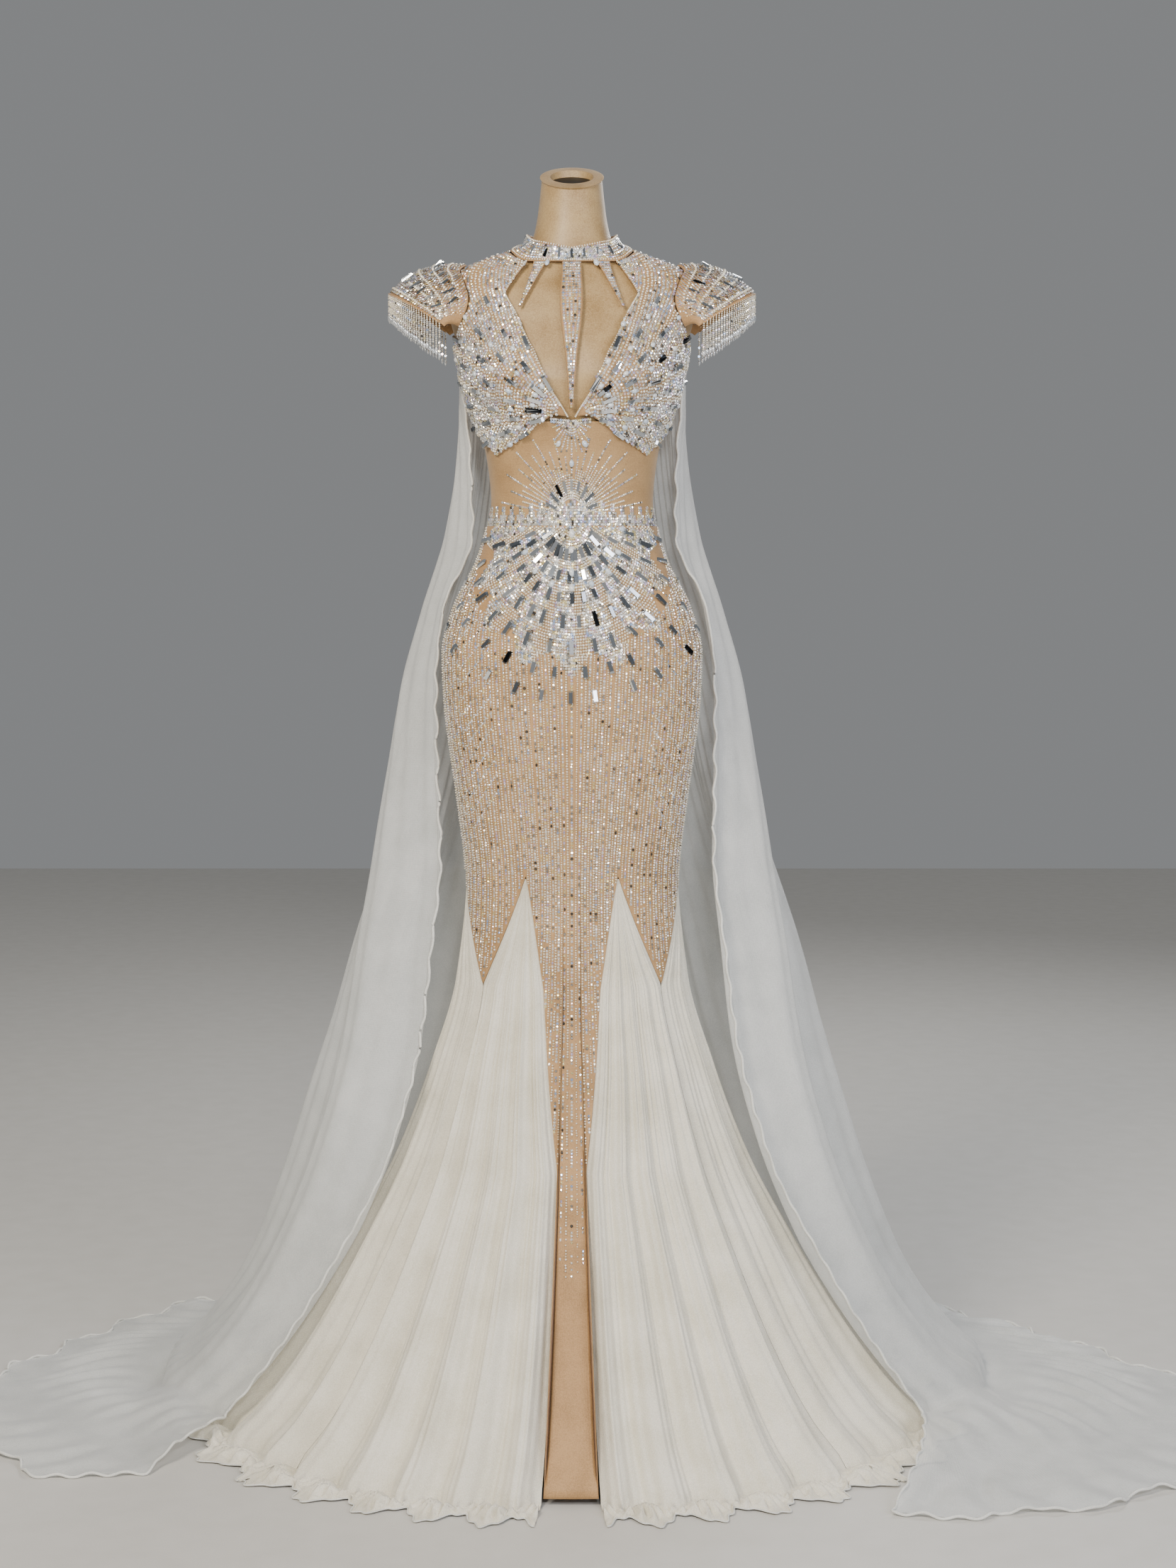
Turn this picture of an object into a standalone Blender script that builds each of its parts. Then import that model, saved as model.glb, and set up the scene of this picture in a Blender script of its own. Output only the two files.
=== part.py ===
"""Pageant gown on a limbless dress form, in metres, +Z up, its front facing -Y.

Every piece is measured from one figure: a stack of oval sections from the neck to the floor.
A place on it is a bearing in degrees round the upright axis, 0 at the front and + towards +X,
with a height above the floor. Cloth is a thin wall that stands off the figure by a named distance.
"""

import math
from collections import namedtuple

import bmesh
import bpy
from mathutils import Vector

Section = namedtuple("Section", "height side front back")
CapeSection = namedtuple("CapeSection", "height edge_x edge_y side_x side_y back_y fold")
Reach = namedtuple("Reach", "bearing reach")
Edge = namedtuple("Edge", "bearing height")
Outline = namedtuple("Outline", "x height")
Godet = namedtuple("Godet", "name apex low_tip high_tip pleats columns")

# The figure: how far its surface lies from the axis at the side, the front and the back.
FIGURE = [
    Section(1.662, 0.0430, 0.0480, 0.0440),
    Section(1.625, 0.0470, 0.0500, 0.0480),
    Section(1.592, 0.0530, 0.0540, 0.0540),
    Section(1.575, 0.0620, 0.0560, 0.0600),
    Section(1.562, 0.0900, 0.0580, 0.0680),
    Section(1.549, 0.1260, 0.0630, 0.0760),
    Section(1.534, 0.1530, 0.0730, 0.0830),
    Section(1.512, 0.1640, 0.0870, 0.0900),
    Section(1.480, 0.1630, 0.1020, 0.0960),
    Section(1.440, 0.1510, 0.1140, 0.0980),
    Section(1.400, 0.1430, 0.1180, 0.0970),
    Section(1.360, 0.1315, 0.1100, 0.0910),
    Section(1.305, 0.1125, 0.0940, 0.0800),
    Section(1.242, 0.1060, 0.0860, 0.0730),
    Section(1.205, 0.1120, 0.0870, 0.0800),
    Section(1.164, 0.1250, 0.0940, 0.0950),
    Section(1.103, 0.1555, 0.1060, 0.1170),
    Section(1.044, 0.1700, 0.1120, 0.1260),
    Section(0.982, 0.1680, 0.1120, 0.1220),
    Section(0.903, 0.1587, 0.1080, 0.1080),
    Section(0.845, 0.1508, 0.1040, 0.1000),
    Section(0.745, 0.1405, 0.0980, 0.0940),
    Section(0.610, 0.1480, 0.1100, 0.1070),
    Section(0.500, 0.1730, 0.1330, 0.1370),
    Section(0.380, 0.2120, 0.1640, 0.1860),
    Section(0.270, 0.2640, 0.2000, 0.2440),
    Section(0.150, 0.3300, 0.2450, 0.3200),
    Section(0.060, 0.3950, 0.2900, 0.3950),
    Section(0.014, 0.4450, 0.3250, 0.4500),
]
BUST_BEARING, BUST_HEIGHT, BUST_RISE = 34, 1.400, 0.019
BUST_SPREAD, BUST_TALL = 24, 0.045

# Cloth thicknesses, and where each layer stands off the figure.
FORM_INSET = 0.0036
MESH_WALL, BEADED_WALL, TULLE_WALL, CAPE_WALL = 0.0010, 0.0016, 0.0012, 0.0010
BODICE_OUT, BAR_OUT, CAP_OUT = 0.0024, 0.0020, 0.0058
SEAM, GODET_SEAM = 0.0006, 0.0014
RIB_RISE, RIB_COUNT = 0.0016, 19

# The dress form and its stand.
FORM_COLUMNS = 20
FORM_BOTTOM, FORM_ROUND = 0.800, 0.018
NECK_TOP, NECK_LEAN_START, NECK_LEAN = 1.662, 1.600, 24
SOCKET_RADIUS, SOCKET_DEPTH = 0.0285, 0.010
POLE_RADIUS, BASE_RADIUS, BASE_HEIGHT, BASE_CHAMFER = 0.016, 0.125, 0.014, 0.004
STAND_GAP = 0.0003

# Seam lines of the bodice.
COLLAR_BOTTOM = [
    Edge(0, 1.5470), Edge(43, 1.5480), Edge(65, 1.5600), Edge(90, 1.5710), Edge(180, 1.5770)
]
COLLAR_TOP = [Edge(0, 1.5670), Edge(45, 1.5760), Edge(90, 1.5890), Edge(180, 1.5920)]
KEYHOLE = [
    Outline(0.0560, 1.5480), Outline(0.0840, 1.5060), Outline(0.0700, 1.4810),
    Outline(0.0460, 1.4300), Outline(0.0220, 1.3780), Outline(0.0040, 1.3500)
]
BODICE_HEM = [
    Outline(0.0040, 1.3500), Outline(0.0240, 1.3520), Outline(0.0580, 1.3270),
    Outline(0.0940, 1.3020), Outline(0.1080, 1.3180)
]
SIDE_HEM, BACK_HEM = 1.338, 1.330
SHOULDER_POINT, ARMPIT, ARMHOLE_SWEEP = 1.5450, 1.4400, 24
BAR = [
    Outline(0.0120, 1.5464), Outline(0.0145, 1.4980), Outline(0.0068, 1.4170), Outline(0.0024, 1.3600)
]
PRONG_ROOT, PRONG_TIP = Outline(0.0400, 1.5472), Outline(0.0655, 1.4880)
PRONG_ROOT_WIDTH, PRONG_TIP_WIDTH = 0.0170, 0.0030

# Cap sleeves and their fringe.
CAP_LOW, CAP_TIP, CAP_TIP_HEIGHT = 1.4660, 0.2370, 1.5130
CAP_LOW_X, CAP_LOW_Y, CAP_DOME = 0.1640, 0.0640, 0.0130
STRANDS, STRAND_LONG, STRAND_SHORT = 30, 0.046, 0.033
STRIP_TALL, STRIP_THICK, STRIP_GAP = 0.0030, 0.0022, 0.0004

# Skirt: the zigzag where the beaded panels end and the godets start, by bearing.
WAIST = 1.211
GODET_TOP, PANEL_TIP = 0.757, 0.610
GORE_HALF, GORE_NARROW, GORE_HEM, BACK_POINT = 6.4, 0.380, 0.010, 0.450
GORE_BEND, BACK_BEND = 19, 165
ZIGZAG = [
    Edge(0, GORE_HEM), Edge(GORE_HALF - 0.4, GORE_HEM), Edge(GORE_HALF, GORE_NARROW),
    Edge(GORE_BEND, PANEL_TIP), Edge(34, GODET_TOP), Edge(60, PANEL_TIP), Edge(90, GODET_TOP),
    Edge(120, PANEL_TIP), Edge(150, GODET_TOP), Edge(BACK_BEND, PANEL_TIP), Edge(180, BACK_POINT)
]
GODETS = [
    Godet("front", 34, GORE_HALF, 60, 5, 14),
    Godet("side", 90, 60, 120, 5, 13),
    Godet("back", 150, 120, 180, 4, 12),
]
GODET_ROWS = [0.735, 0.675, PANEL_TIP, 0.535, 0.455, 0.370, 0.285, 0.200, 0.125, 0.060, 0.020]
APEX_WIDTH = 1.6
PLEAT_RISE, GODET_FULLNESS, HEM_RIPPLE, HEM_WAVE = 0.030, 0.010, 0.006, 0.016
HEM = Section(0.0, 0.520, 0.385, 0.560)
FLOOR_CLEAR = 0.0012

# Linings, which show through the parting of the front godets.
LINING = [
    Section(0.745, 0.1363, 0.0938, 0.0898),
    Section(0.600, 0.1360, 0.0980, 0.0950),
    Section(0.400, 0.1500, 0.1180, 0.1180),
    Section(0.200, 0.1640, 0.1420, 0.1400),
    Section(0.008, 0.1780, 0.1640, 0.1600),
]
LINING_STEP, LINING_SPREAD, SHORT_HEM, LONG_HEM = 0.0016, 0.015, 0.105, 0.010

# The cape, half of it: the front edge, the widest place and the middle of the back.
CAPE_SHOULDER = [
    Edge(118, 1.5690), Edge(120, 1.5500), Edge(121, 1.5200), Edge(118, 1.4850), Edge(113, 1.4450),
]
CAPE_SHOULDER_OUT = [0.0045, 0.0085, 0.0110, 0.0140, 0.0170]
CAPE = [
    CapeSection(1.385, 0.146, 0.050, 0.153, 0.062, 0.128, 0.0020),
    CapeSection(1.305, 0.137, 0.045, 0.154, 0.070, 0.136, 0.0040),
    CapeSection(1.200, 0.134, 0.040, 0.166, 0.078, 0.145, 0.0060),
    CapeSection(1.100, 0.174, 0.034, 0.193, 0.084, 0.162, 0.0080),
    CapeSection(1.000, 0.184, 0.028, 0.221, 0.092, 0.178, 0.0100),
    CapeSection(0.890, 0.182, 0.016, 0.241, 0.100, 0.194, 0.0120),
    CapeSection(0.770, 0.178, 0.000, 0.268, 0.110, 0.226, 0.0150),
    CapeSection(0.650, 0.190, -0.020, 0.297, 0.120, 0.268, 0.0180),
    CapeSection(0.530, 0.204, -0.040, 0.322, 0.130, 0.316, 0.0200),
    CapeSection(0.400, 0.238, -0.070, 0.356, 0.145, 0.384, 0.0220),
    CapeSection(0.280, 0.286, -0.080, 0.398, 0.165, 0.455, 0.0220),
    CapeSection(0.170, 0.345, -0.080, 0.450, 0.185, 0.530, 0.0200),
    CapeSection(0.080, 0.405, -0.080, 0.520, 0.195, 0.595, 0.0160),
    CapeSection(0.036, 0.445, -0.080, 0.575, 0.200, 0.640, 0.0080),
]
CAPE_COLUMNS, CAPE_WAVES = 34, 5.5
CAPE_CLEAR, CAPE_FLOOR, CAPE_OVER_HEM = 0.006, 0.0030, 0.026
TRAIN_FRACTIONS = [0.30, 0.62, 1.0]
TRAIN_EDGE_LEFT, TRAIN_EDGE_RIGHT = 68, 48
TRAIN_LEFT = [
    Reach(68, 0.600), Reach(72, 0.716), Reach(86, 0.802), Reach(94, 0.856), Reach(110, 0.812),
    Reach(128, 0.790), Reach(141, 0.746), Reach(158, 0.722), Reach(180, 0.730)
]
TRAIN_RIGHT = [
    Reach(48, 0.540), Reach(60, 0.690), Reach(68, 0.783), Reach(87, 0.861), Reach(96, 0.880),
    Reach(110, 0.815), Reach(124, 0.752), Reach(141, 0.722), Reach(158, 0.718), Reach(180, 0.730)
]


def smooth(places, values, place):
    """A curve through the table's values that has no bump of its own between two of them."""
    if places[0] > places[-1]:
        places, values = places[::-1], values[::-1]
    place = min(max(place, places[0]), places[-1])
    last = len(places) - 1
    i = next(k for k in range(last) if place <= places[k + 1])
    steps = [places[k + 1] - places[k] for k in range(last)]
    slopes = [(values[k + 1] - values[k]) / steps[k] for k in range(last)]

    def lean(k):
        if k == 0 or k == last:
            return slopes[min(k, last - 1)]
        before, after = slopes[k - 1], slopes[k]
        return 0.0 if before * after <= 0 else 2 * before * after / (before + after)

    t = (place - places[i]) / steps[i]
    rise = values[i] + (values[i + 1] - values[i]) * t * t * (3 - 2 * t)
    return rise + steps[i] * (lean(i) * t * (1 - t) ** 2 - lean(i + 1) * t * t * (1 - t))


def straight(places, values, place):
    """The same table joined by straight lines."""
    place = min(max(place, places[0]), places[-1])
    i = next(k for k in range(len(places) - 1) if place <= places[k + 1])
    t = (place - places[i]) / (places[i + 1] - places[i])
    return values[i] + t * (values[i + 1] - values[i])


def mix(a, b, t):
    return a + (b - a) * t


def oval(bearing, side, front, back):
    """How far an oval's rim lies from the axis at a bearing."""
    angle = math.radians(bearing)
    depth = front if math.cos(angle) > 0 else back
    return 1 / math.hypot(math.sin(angle) / side, math.cos(angle) / depth)


def oval_of(table, bearing, height):
    heights = [row.height for row in table]
    sizes = [smooth(heights, [row[k] for row in table], height) for k in (1, 2, 3)]
    return oval(bearing, *sizes)


def bust(bearing, height):
    """The two smooth rises of the chest."""
    across = (abs((bearing + 180) % 360 - 180) - BUST_BEARING) / BUST_SPREAD
    up = (height - BUST_HEIGHT) / BUST_TALL
    return BUST_RISE * math.exp(-across * across - up * up)


def figure_radius(bearing, height):
    return oval_of(FIGURE, bearing, height) + bust(bearing, height)


def around(bearing, radius, height):
    angle = math.radians(bearing)
    return Vector((radius * math.sin(angle), -radius * math.cos(angle), height))


def skin(bearing, height, out=0.0):
    """A point that stands off the figure's surface, square to it."""
    place = around(bearing, figure_radius(bearing, height), height)
    if out == 0.0:
        return place
    step_round, step_down = 0.5, 0.0005
    onward = around(bearing + step_round, figure_radius(bearing + step_round, height), height)
    lower = height - step_down
    below = around(bearing, figure_radius(bearing, lower), lower)
    outward = (below - place).cross(onward - place).normalized()
    return place + outward * out


def bearing_at(x, height):
    """The bearing at which the figure's front is x from the middle."""
    low, high = 0.0, 90.0
    for _ in range(24):
        middle = (low + high) / 2
        if figure_radius(middle, height) * math.sin(math.radians(middle)) < x:
            low = middle
        else:
            high = middle
    return low


def finish(name, colour, roughness, metallic=0.0):
    """A plain material with its colour given as light's own values."""
    found = bpy.data.materials.get(name)
    if found:
        return found
    material = bpy.data.materials.new(name)
    material.use_nodes = True
    surface = material.node_tree.nodes["Principled BSDF"]
    surface.inputs["Base Color"].default_value = (*colour, 1.0)
    surface.inputs["Roughness"].default_value = roughness
    surface.inputs["Metallic"].default_value = metallic
    material.diffuse_color = (*colour, 1.0)
    return material


def form_satin():
    return finish("form_satin", (0.46, 0.30, 0.16), 0.45)


def nude_mesh():
    return finish("nude_mesh", (0.60, 0.39, 0.22), 0.60)


def beaded_mesh():
    return finish("beaded_mesh", (0.62, 0.58, 0.52), 0.28)


def ivory_tulle():
    return finish("ivory_tulle", (0.78, 0.73, 0.62), 0.75)


def organza():
    return finish("cape_organza", (0.74, 0.76, 0.76), 0.50)


def lining_satin():
    return finish("lining_satin", (0.62, 0.42, 0.27), 0.50)


def stand_steel():
    return finish("stand_steel", (0.10, 0.10, 0.10), 0.40, 1.0)


def keep(name, mesh, material, collection, smooth_shading=True):
    """Puts a mesh into the scene as the named piece."""
    mesh.materials.append(material)
    if smooth_shading:
        mesh.shade_smooth()
        mesh.set_sharp_from_angle(angle=math.radians(50))
    piece = bpy.data.objects.new(name, mesh)
    collection.objects.link(piece)
    return piece


def faces_of(rows, columns, wrap):
    """The quads of a grid whose rows run down and whose columns run towards +bearing."""
    quads = []
    for i in range(rows - 1):
        for j in range(columns if wrap else columns - 1):
            k = (j + 1) % columns
            top, bottom = i * columns, (i + 1) * columns
            quads.append((top + j, bottom + j, bottom + k, top + k))
    return quads


def cloth(name, grid, wrap, thickness, material, collection):
    """A thin wall: an open grid that Solidify thickens outwards."""
    mesh = bpy.data.meshes.new(name)
    points = [tuple(point) for row in grid for point in row]
    mesh.from_pydata(points, [], faces_of(len(grid), len(grid[0]), wrap))
    mesh.update()
    piece = keep(name, mesh, material, collection)
    wall = piece.modifiers.new("wall", "SOLIDIFY")
    wall.thickness = thickness
    wall.offset = 1.0
    wall.use_even_offset = True
    wall.use_rim = True
    return piece


def relief_wall(name, inner, outer, material, collection):
    """A wall whose raised outer face and plain inner face are joined along their rim."""
    rows, columns = len(inner), len(inner[0])
    count = rows * columns
    quads = faces_of(rows, columns, False)
    faces = [tuple(count + v for v in quad) for quad in quads]
    faces += [quad[::-1] for quad in quads]
    rim = [j for j in range(columns)]
    rim += [i * columns + columns - 1 for i in range(1, rows)]
    rim += [(rows - 1) * columns + j for j in range(columns - 2, -1, -1)]
    rim += [i * columns for i in range(rows - 2, 0, -1)]
    for a, b in zip(rim, rim[1:] + rim[:1]):
        faces.append((b, a, count + a, count + b))
    mesh = bpy.data.meshes.new(name)
    points = [tuple(point) for side in (inner, outer) for row in side for point in row]
    mesh.from_pydata(points, [], faces)
    mesh.update()
    edit = bmesh.new()
    edit.from_mesh(mesh)
    bmesh.ops.recalc_face_normals(edit, faces=edit.faces)
    edit.to_mesh(mesh)
    edit.free()
    return keep(name, mesh, material, collection)


def turned(name, profile, segments, material, collection):
    """A turned solid: its half profile, top to bottom, spun with a Screw modifier."""
    mesh = bpy.data.meshes.new(name)
    points = [(radius, 0.0, height) for radius, height in profile]
    mesh.from_pydata(points, [(i, i + 1) for i in range(len(points) - 1)], [])
    piece = keep(name, mesh, material, collection, False)
    spin = piece.modifiers.new("spin", "SCREW")
    spin.steps = spin.render_steps = segments
    spin.use_merge_vertices = True
    spin.merge_threshold = 0.0001
    return piece


def neck_lean(point):
    """Tips the neck's top forwards, more the higher the point is."""
    above = max(0.0, (point.z - NECK_LEAN_START) / (NECK_TOP - NECK_LEAN_START))
    point.z += math.tan(math.radians(NECK_LEAN)) * above * point.y
    return point


def dress_form(collection):
    """The smooth limbless body, with a flat leaning neck cap and a round socket in it."""
    heights = [1.662, 1.630, 1.600, 1.584, 1.574, 1.565, 1.556, 1.547, 1.534, 1.515, 1.485, 1.450]
    heights += [1.420, 1.390, 1.350, 1.300, 1.245, 1.195, 1.140, 1.080, 1.010, 0.920]
    heights += [FORM_BOTTOM + FORM_ROUND]
    bearings = [360 * k / FORM_COLUMNS for k in range(FORM_COLUMNS)]
    rings = [[neck_lean(skin(b, h, -FORM_INSET)) for b in bearings] for h in heights]
    cap_inset = 0.003
    cap = [around(b, oval_of(FIGURE, b, NECK_TOP) - cap_inset, NECK_TOP + cap_inset) for b in bearings]
    lip = [around(b, SOCKET_RADIUS, NECK_TOP + cap_inset) for b in bearings]
    floor = [around(b, SOCKET_RADIUS, NECK_TOP + cap_inset - SOCKET_DEPTH) for b in bearings]
    above = [floor, lip, cap]
    for ring in above:
        for point in ring:
            point.z += math.tan(math.radians(NECK_LEAN)) * point.y
    round_off = [around(b, figure_radius(b, FORM_BOTTOM) - FORM_ROUND, FORM_BOTTOM) for b in bearings]
    grid = above + rings + [round_off]
    mesh = bpy.data.meshes.new("form_torso")
    faces = faces_of(len(grid), FORM_COLUMNS, True)
    last = (len(grid) - 1) * FORM_COLUMNS
    faces.append(tuple(range(FORM_COLUMNS)))
    faces.append(tuple(last + k for k in reversed(range(FORM_COLUMNS))))
    mesh.from_pydata([tuple(p) for ring in grid for p in ring], [], faces)
    mesh.update()
    edit = bmesh.new()
    edit.from_mesh(mesh)
    bmesh.ops.recalc_face_normals(edit, faces=edit.faces)
    edit.to_mesh(mesh)
    edit.free()
    keep("form_torso", mesh, form_satin(), collection)


def neck_socket(collection):
    """The dark disc at the bottom of the neck's socket."""
    thickness = 0.002
    bpy.ops.mesh.primitive_cylinder_add(
        vertices=FORM_COLUMNS, radius=SOCKET_RADIUS - SEAM, depth=thickness
    )
    disc = bpy.context.object
    disc.name = "form_neck_socket"
    disc.data.name = disc.name
    lean = math.radians(NECK_LEAN)
    floor = NECK_TOP + 0.003 - SOCKET_DEPTH
    disc.location = (0.0, 0.0, floor + (thickness / 2 + STAND_GAP) / math.cos(lean))
    disc.rotation_euler = (lean, 0.0, 0.0)
    disc.scale = (1.0, 0.97, 1.0)
    disc.data.materials.append(finish("socket_black", (0.02, 0.02, 0.02), 0.5))
    for other in disc.users_collection:
        other.objects.unlink(disc)
    collection.objects.link(disc)


def stand(collection):
    """A plain pole on a round foot, hidden by the skirt."""
    top = FORM_BOTTOM - STAND_GAP
    foot = BASE_HEIGHT + STAND_GAP
    pole = [(0.0, top), (POLE_RADIUS, top), (POLE_RADIUS, foot), (0.0, foot)]
    turned("form_pole", pole, 16, stand_steel(), collection)
    rim = BASE_RADIUS - BASE_CHAMFER
    shoulder = BASE_HEIGHT - BASE_CHAMFER
    base = [(0.0, BASE_HEIGHT), (rim, BASE_HEIGHT), (BASE_RADIUS, shoulder), (BASE_RADIUS, 0.0), (0.0, 0.0)]
    turned("form_base", base, 24, stand_steel(), collection)


def edge_height(edges, bearing):
    return smooth([e.bearing for e in edges], [e.height for e in edges], abs(bearing))


def collar(collection):
    """The beaded stand collar, which spreads onto the root of the neck."""
    columns, rows = 24, 3
    grid = []
    for i in range(rows):
        row = []
        for j in range(columns):
            bearing = 360 * j / columns
            short = min(bearing, 360 - bearing)
            top, bottom = edge_height(COLLAR_TOP, short), edge_height(COLLAR_BOTTOM, short)
            row.append(skin(bearing, mix(top, bottom, i / (rows - 1)), BODICE_OUT))
        grid.append(row)
    cloth("collar_band", grid, True, BEADED_WALL, beaded_mesh(), collection)


def armhole(height):
    """How far the armhole's edge lies from the side seam, in degrees."""
    if not ARMPIT < height < SHOULDER_POINT:
        return 0.0
    return ARMHOLE_SWEEP * math.sin(math.pi * (height - ARMPIT) / (SHOULDER_POINT - ARMPIT)) ** 0.7


def patch(inner, outer, top, bottom, v, w):
    """A place inside four edges, each a function from 0 to 1 that gives a bearing and a height."""
    place = []
    for k in (0, 1):
        across = mix(inner(v)[k], outer(v)[k], w)
        down = mix(top(w)[k], bottom(w)[k], v)
        corners = mix(mix(top(0)[k], top(1)[k], w), mix(bottom(0)[k], bottom(1)[k], w), v)
        place.append(across + down - corners)
    return place


def outline_curve(points):
    """An edge on the figure's front, from its places across and up."""
    spots = [(bearing_at(p.x, p.height), p.height) for p in points]
    return lambda t: [
        straight(list(range(len(spots))), [s[k] for s in spots], t * (len(spots) - 1)) for k in (0, 1)
    ]


def rib(point, fan):
    """The ribs that fan out from a place, raised to a round top."""
    angle = math.atan2(point.z - fan.z, point.x - fan.x)
    return RIB_RISE * (0.5 + 0.5 * math.cos(angle * RIB_COUNT))


def bodice_front(name, hand, collection):
    """A beaded wing, from the collar and shoulder to the pointed hem under the bust."""
    seam = math.degrees(SEAM / 0.1)
    corner = bearing_at(KEYHOLE[0].x, KEYHOLE[0].height)
    inner = outline_curve(KEYHOLE)
    hem = outline_curve(BODICE_HEM + [Outline(0.2, SIDE_HEM)])

    def top(w):
        bearing = mix(corner, 90 - seam, w)
        return bearing, edge_height(COLLAR_BOTTOM, bearing) - 2 * SEAM

    def outer(v):
        height = mix(top(1)[1], SIDE_HEM, v)
        return 90 - seam - armhole(height), height

    def bottom(w):
        place = hem(w)
        return [min(place[0], 90 - seam), place[1]]

    def inner_edge(v):
        place = inner(v)
        return [place[0], place[1] - 2 * SEAM * (1 - v)]

    rows, columns = 18, 15
    lining, face = [], []
    fan = Vector((hand * 0.010, 0.0, BUST_HEIGHT - 0.045))
    for i in range(rows):
        v = (i / (rows - 1)) ** 1.25
        spots = [patch(inner_edge, outer, top, bottom, v, j / (columns - 1)) for j in range(columns)]
        spots = [(hand * bearing, height) for bearing, height in spots]
        if hand < 0:
            spots.reverse()
        lining.append([skin(b, h, BODICE_OUT) for b, h in spots])
        face.append([skin(b, h, BODICE_OUT + BEADED_WALL + rib(skin(b, h), fan)) for b, h in spots])
    relief_wall(name, lining, face, beaded_mesh(), collection)


def bodice_back(name, hand, collection):
    """Half of the plain back, with a hidden zip seam in the middle."""
    seam = math.degrees(SEAM / 0.1)
    rows, columns = 13, 8

    def top(w):
        bearing = mix(90 + seam, 180 - seam / 2, w)
        return bearing, edge_height(COLLAR_BOTTOM, bearing) - 2 * SEAM

    def side(v):
        height = mix(top(0)[1], SIDE_HEM, v)
        return 90 + seam + armhole(height), height

    def middle(v):
        return 180 - seam / 2, mix(top(1)[1], BACK_HEM, v)

    def bottom(w):
        return mix(90 + seam, 180 - seam / 2, w), mix(SIDE_HEM, BACK_HEM, w)

    grid = []
    for i in range(rows):
        v = (i / (rows - 1)) ** 1.6
        spots = [patch(side, middle, top, bottom, v, j / (columns - 1)) for j in range(columns)]
        spots = [(hand * bearing, height) for bearing, height in spots]
        if hand < 0:
            spots.reverse()
        grid.append([skin(b, h, BODICE_OUT) for b, h in spots])
    cloth(name, grid, False, BEADED_WALL, nude_mesh(), collection)


def bar(collection):
    """The tapering beaded bar down the middle of the keyhole."""
    rows, columns = 9, 3
    grid = []
    for i in range(rows):
        height = mix(BAR[0].height, BAR[-1].height, i / (rows - 1))
        half = smooth([p.height for p in BAR], [p.x for p in BAR], height)
        spread = bearing_at(half, height)
        grid.append([skin(spread * (2 * j / (columns - 1) - 1), height, BAR_OUT) for j in range(columns)])
    cloth("keyhole_bar", grid, False, BEADED_WALL, beaded_mesh(), collection)


def prong(name, hand, collection):
    """A slanting beaded point that crosses the top corner of the keyhole."""
    rows = 6
    grid = []
    for i in range(rows):
        t = i / (rows - 1)
        height = mix(PRONG_ROOT.height, PRONG_TIP.height, t)
        middle = mix(PRONG_ROOT.x, PRONG_TIP.x, t)
        half = mix(PRONG_ROOT_WIDTH, PRONG_TIP_WIDTH, t ** 0.7) / 2
        edges = [hand * bearing_at(middle - half, height), hand * bearing_at(middle + half, height)]
        grid.append([skin(bearing, height, BAR_OUT) for bearing in sorted(edges)])
    cloth(name, grid, False, BEADED_WALL, beaded_mesh(), collection)


def cap_edge(hand, q):
    """The cap's outer edge, from its low front end (q = 0) over the point to its low back end."""
    out = math.sin(math.pi * q)
    x = CAP_LOW_X + (CAP_TIP - CAP_LOW_X) * out ** 0.9
    height = CAP_LOW + (CAP_TIP_HEIGHT - CAP_LOW) * out ** 0.8
    return Vector((hand * x, -CAP_LOW_Y * math.cos(math.pi * q), height))


def cap_root(hand, q):
    """The cap's inner edge, which stands just off the armhole."""
    rise = math.sin(math.pi * q)
    height = mix(CAP_LOW + 0.002, SHOULDER_POINT - 0.0005, rise ** 0.8)
    bearing = 90 - armhole(height) * math.copysign(1, 0.5 - q)
    return skin(hand * bearing, height, CAP_OUT)


def cap_sleeve(name, hand, collection):
    """A cap that stands out to a point beyond the shoulder, domed between its two edges."""
    rows, columns = 7, 17
    grid = []
    for i in range(rows):
        s = i / (rows - 1)
        row = []
        for j in range(columns):
            q = j / (columns - 1)
            root, edge = cap_root(hand, q), cap_edge(hand, q)
            dome = CAP_DOME * math.sin(math.pi * s) * (0.35 + 0.65 * math.sin(math.pi * q))
            facing = Vector((hand * 0.45, -0.35 * math.cos(math.pi * q), 0.85)).normalized()
            row.append(root.lerp(edge, s) + facing * dome)
        if hand < 0:
            row.reverse()
        grid.append(row)
    cloth(name, grid, False, BEADED_WALL, beaded_mesh(), collection)


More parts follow.
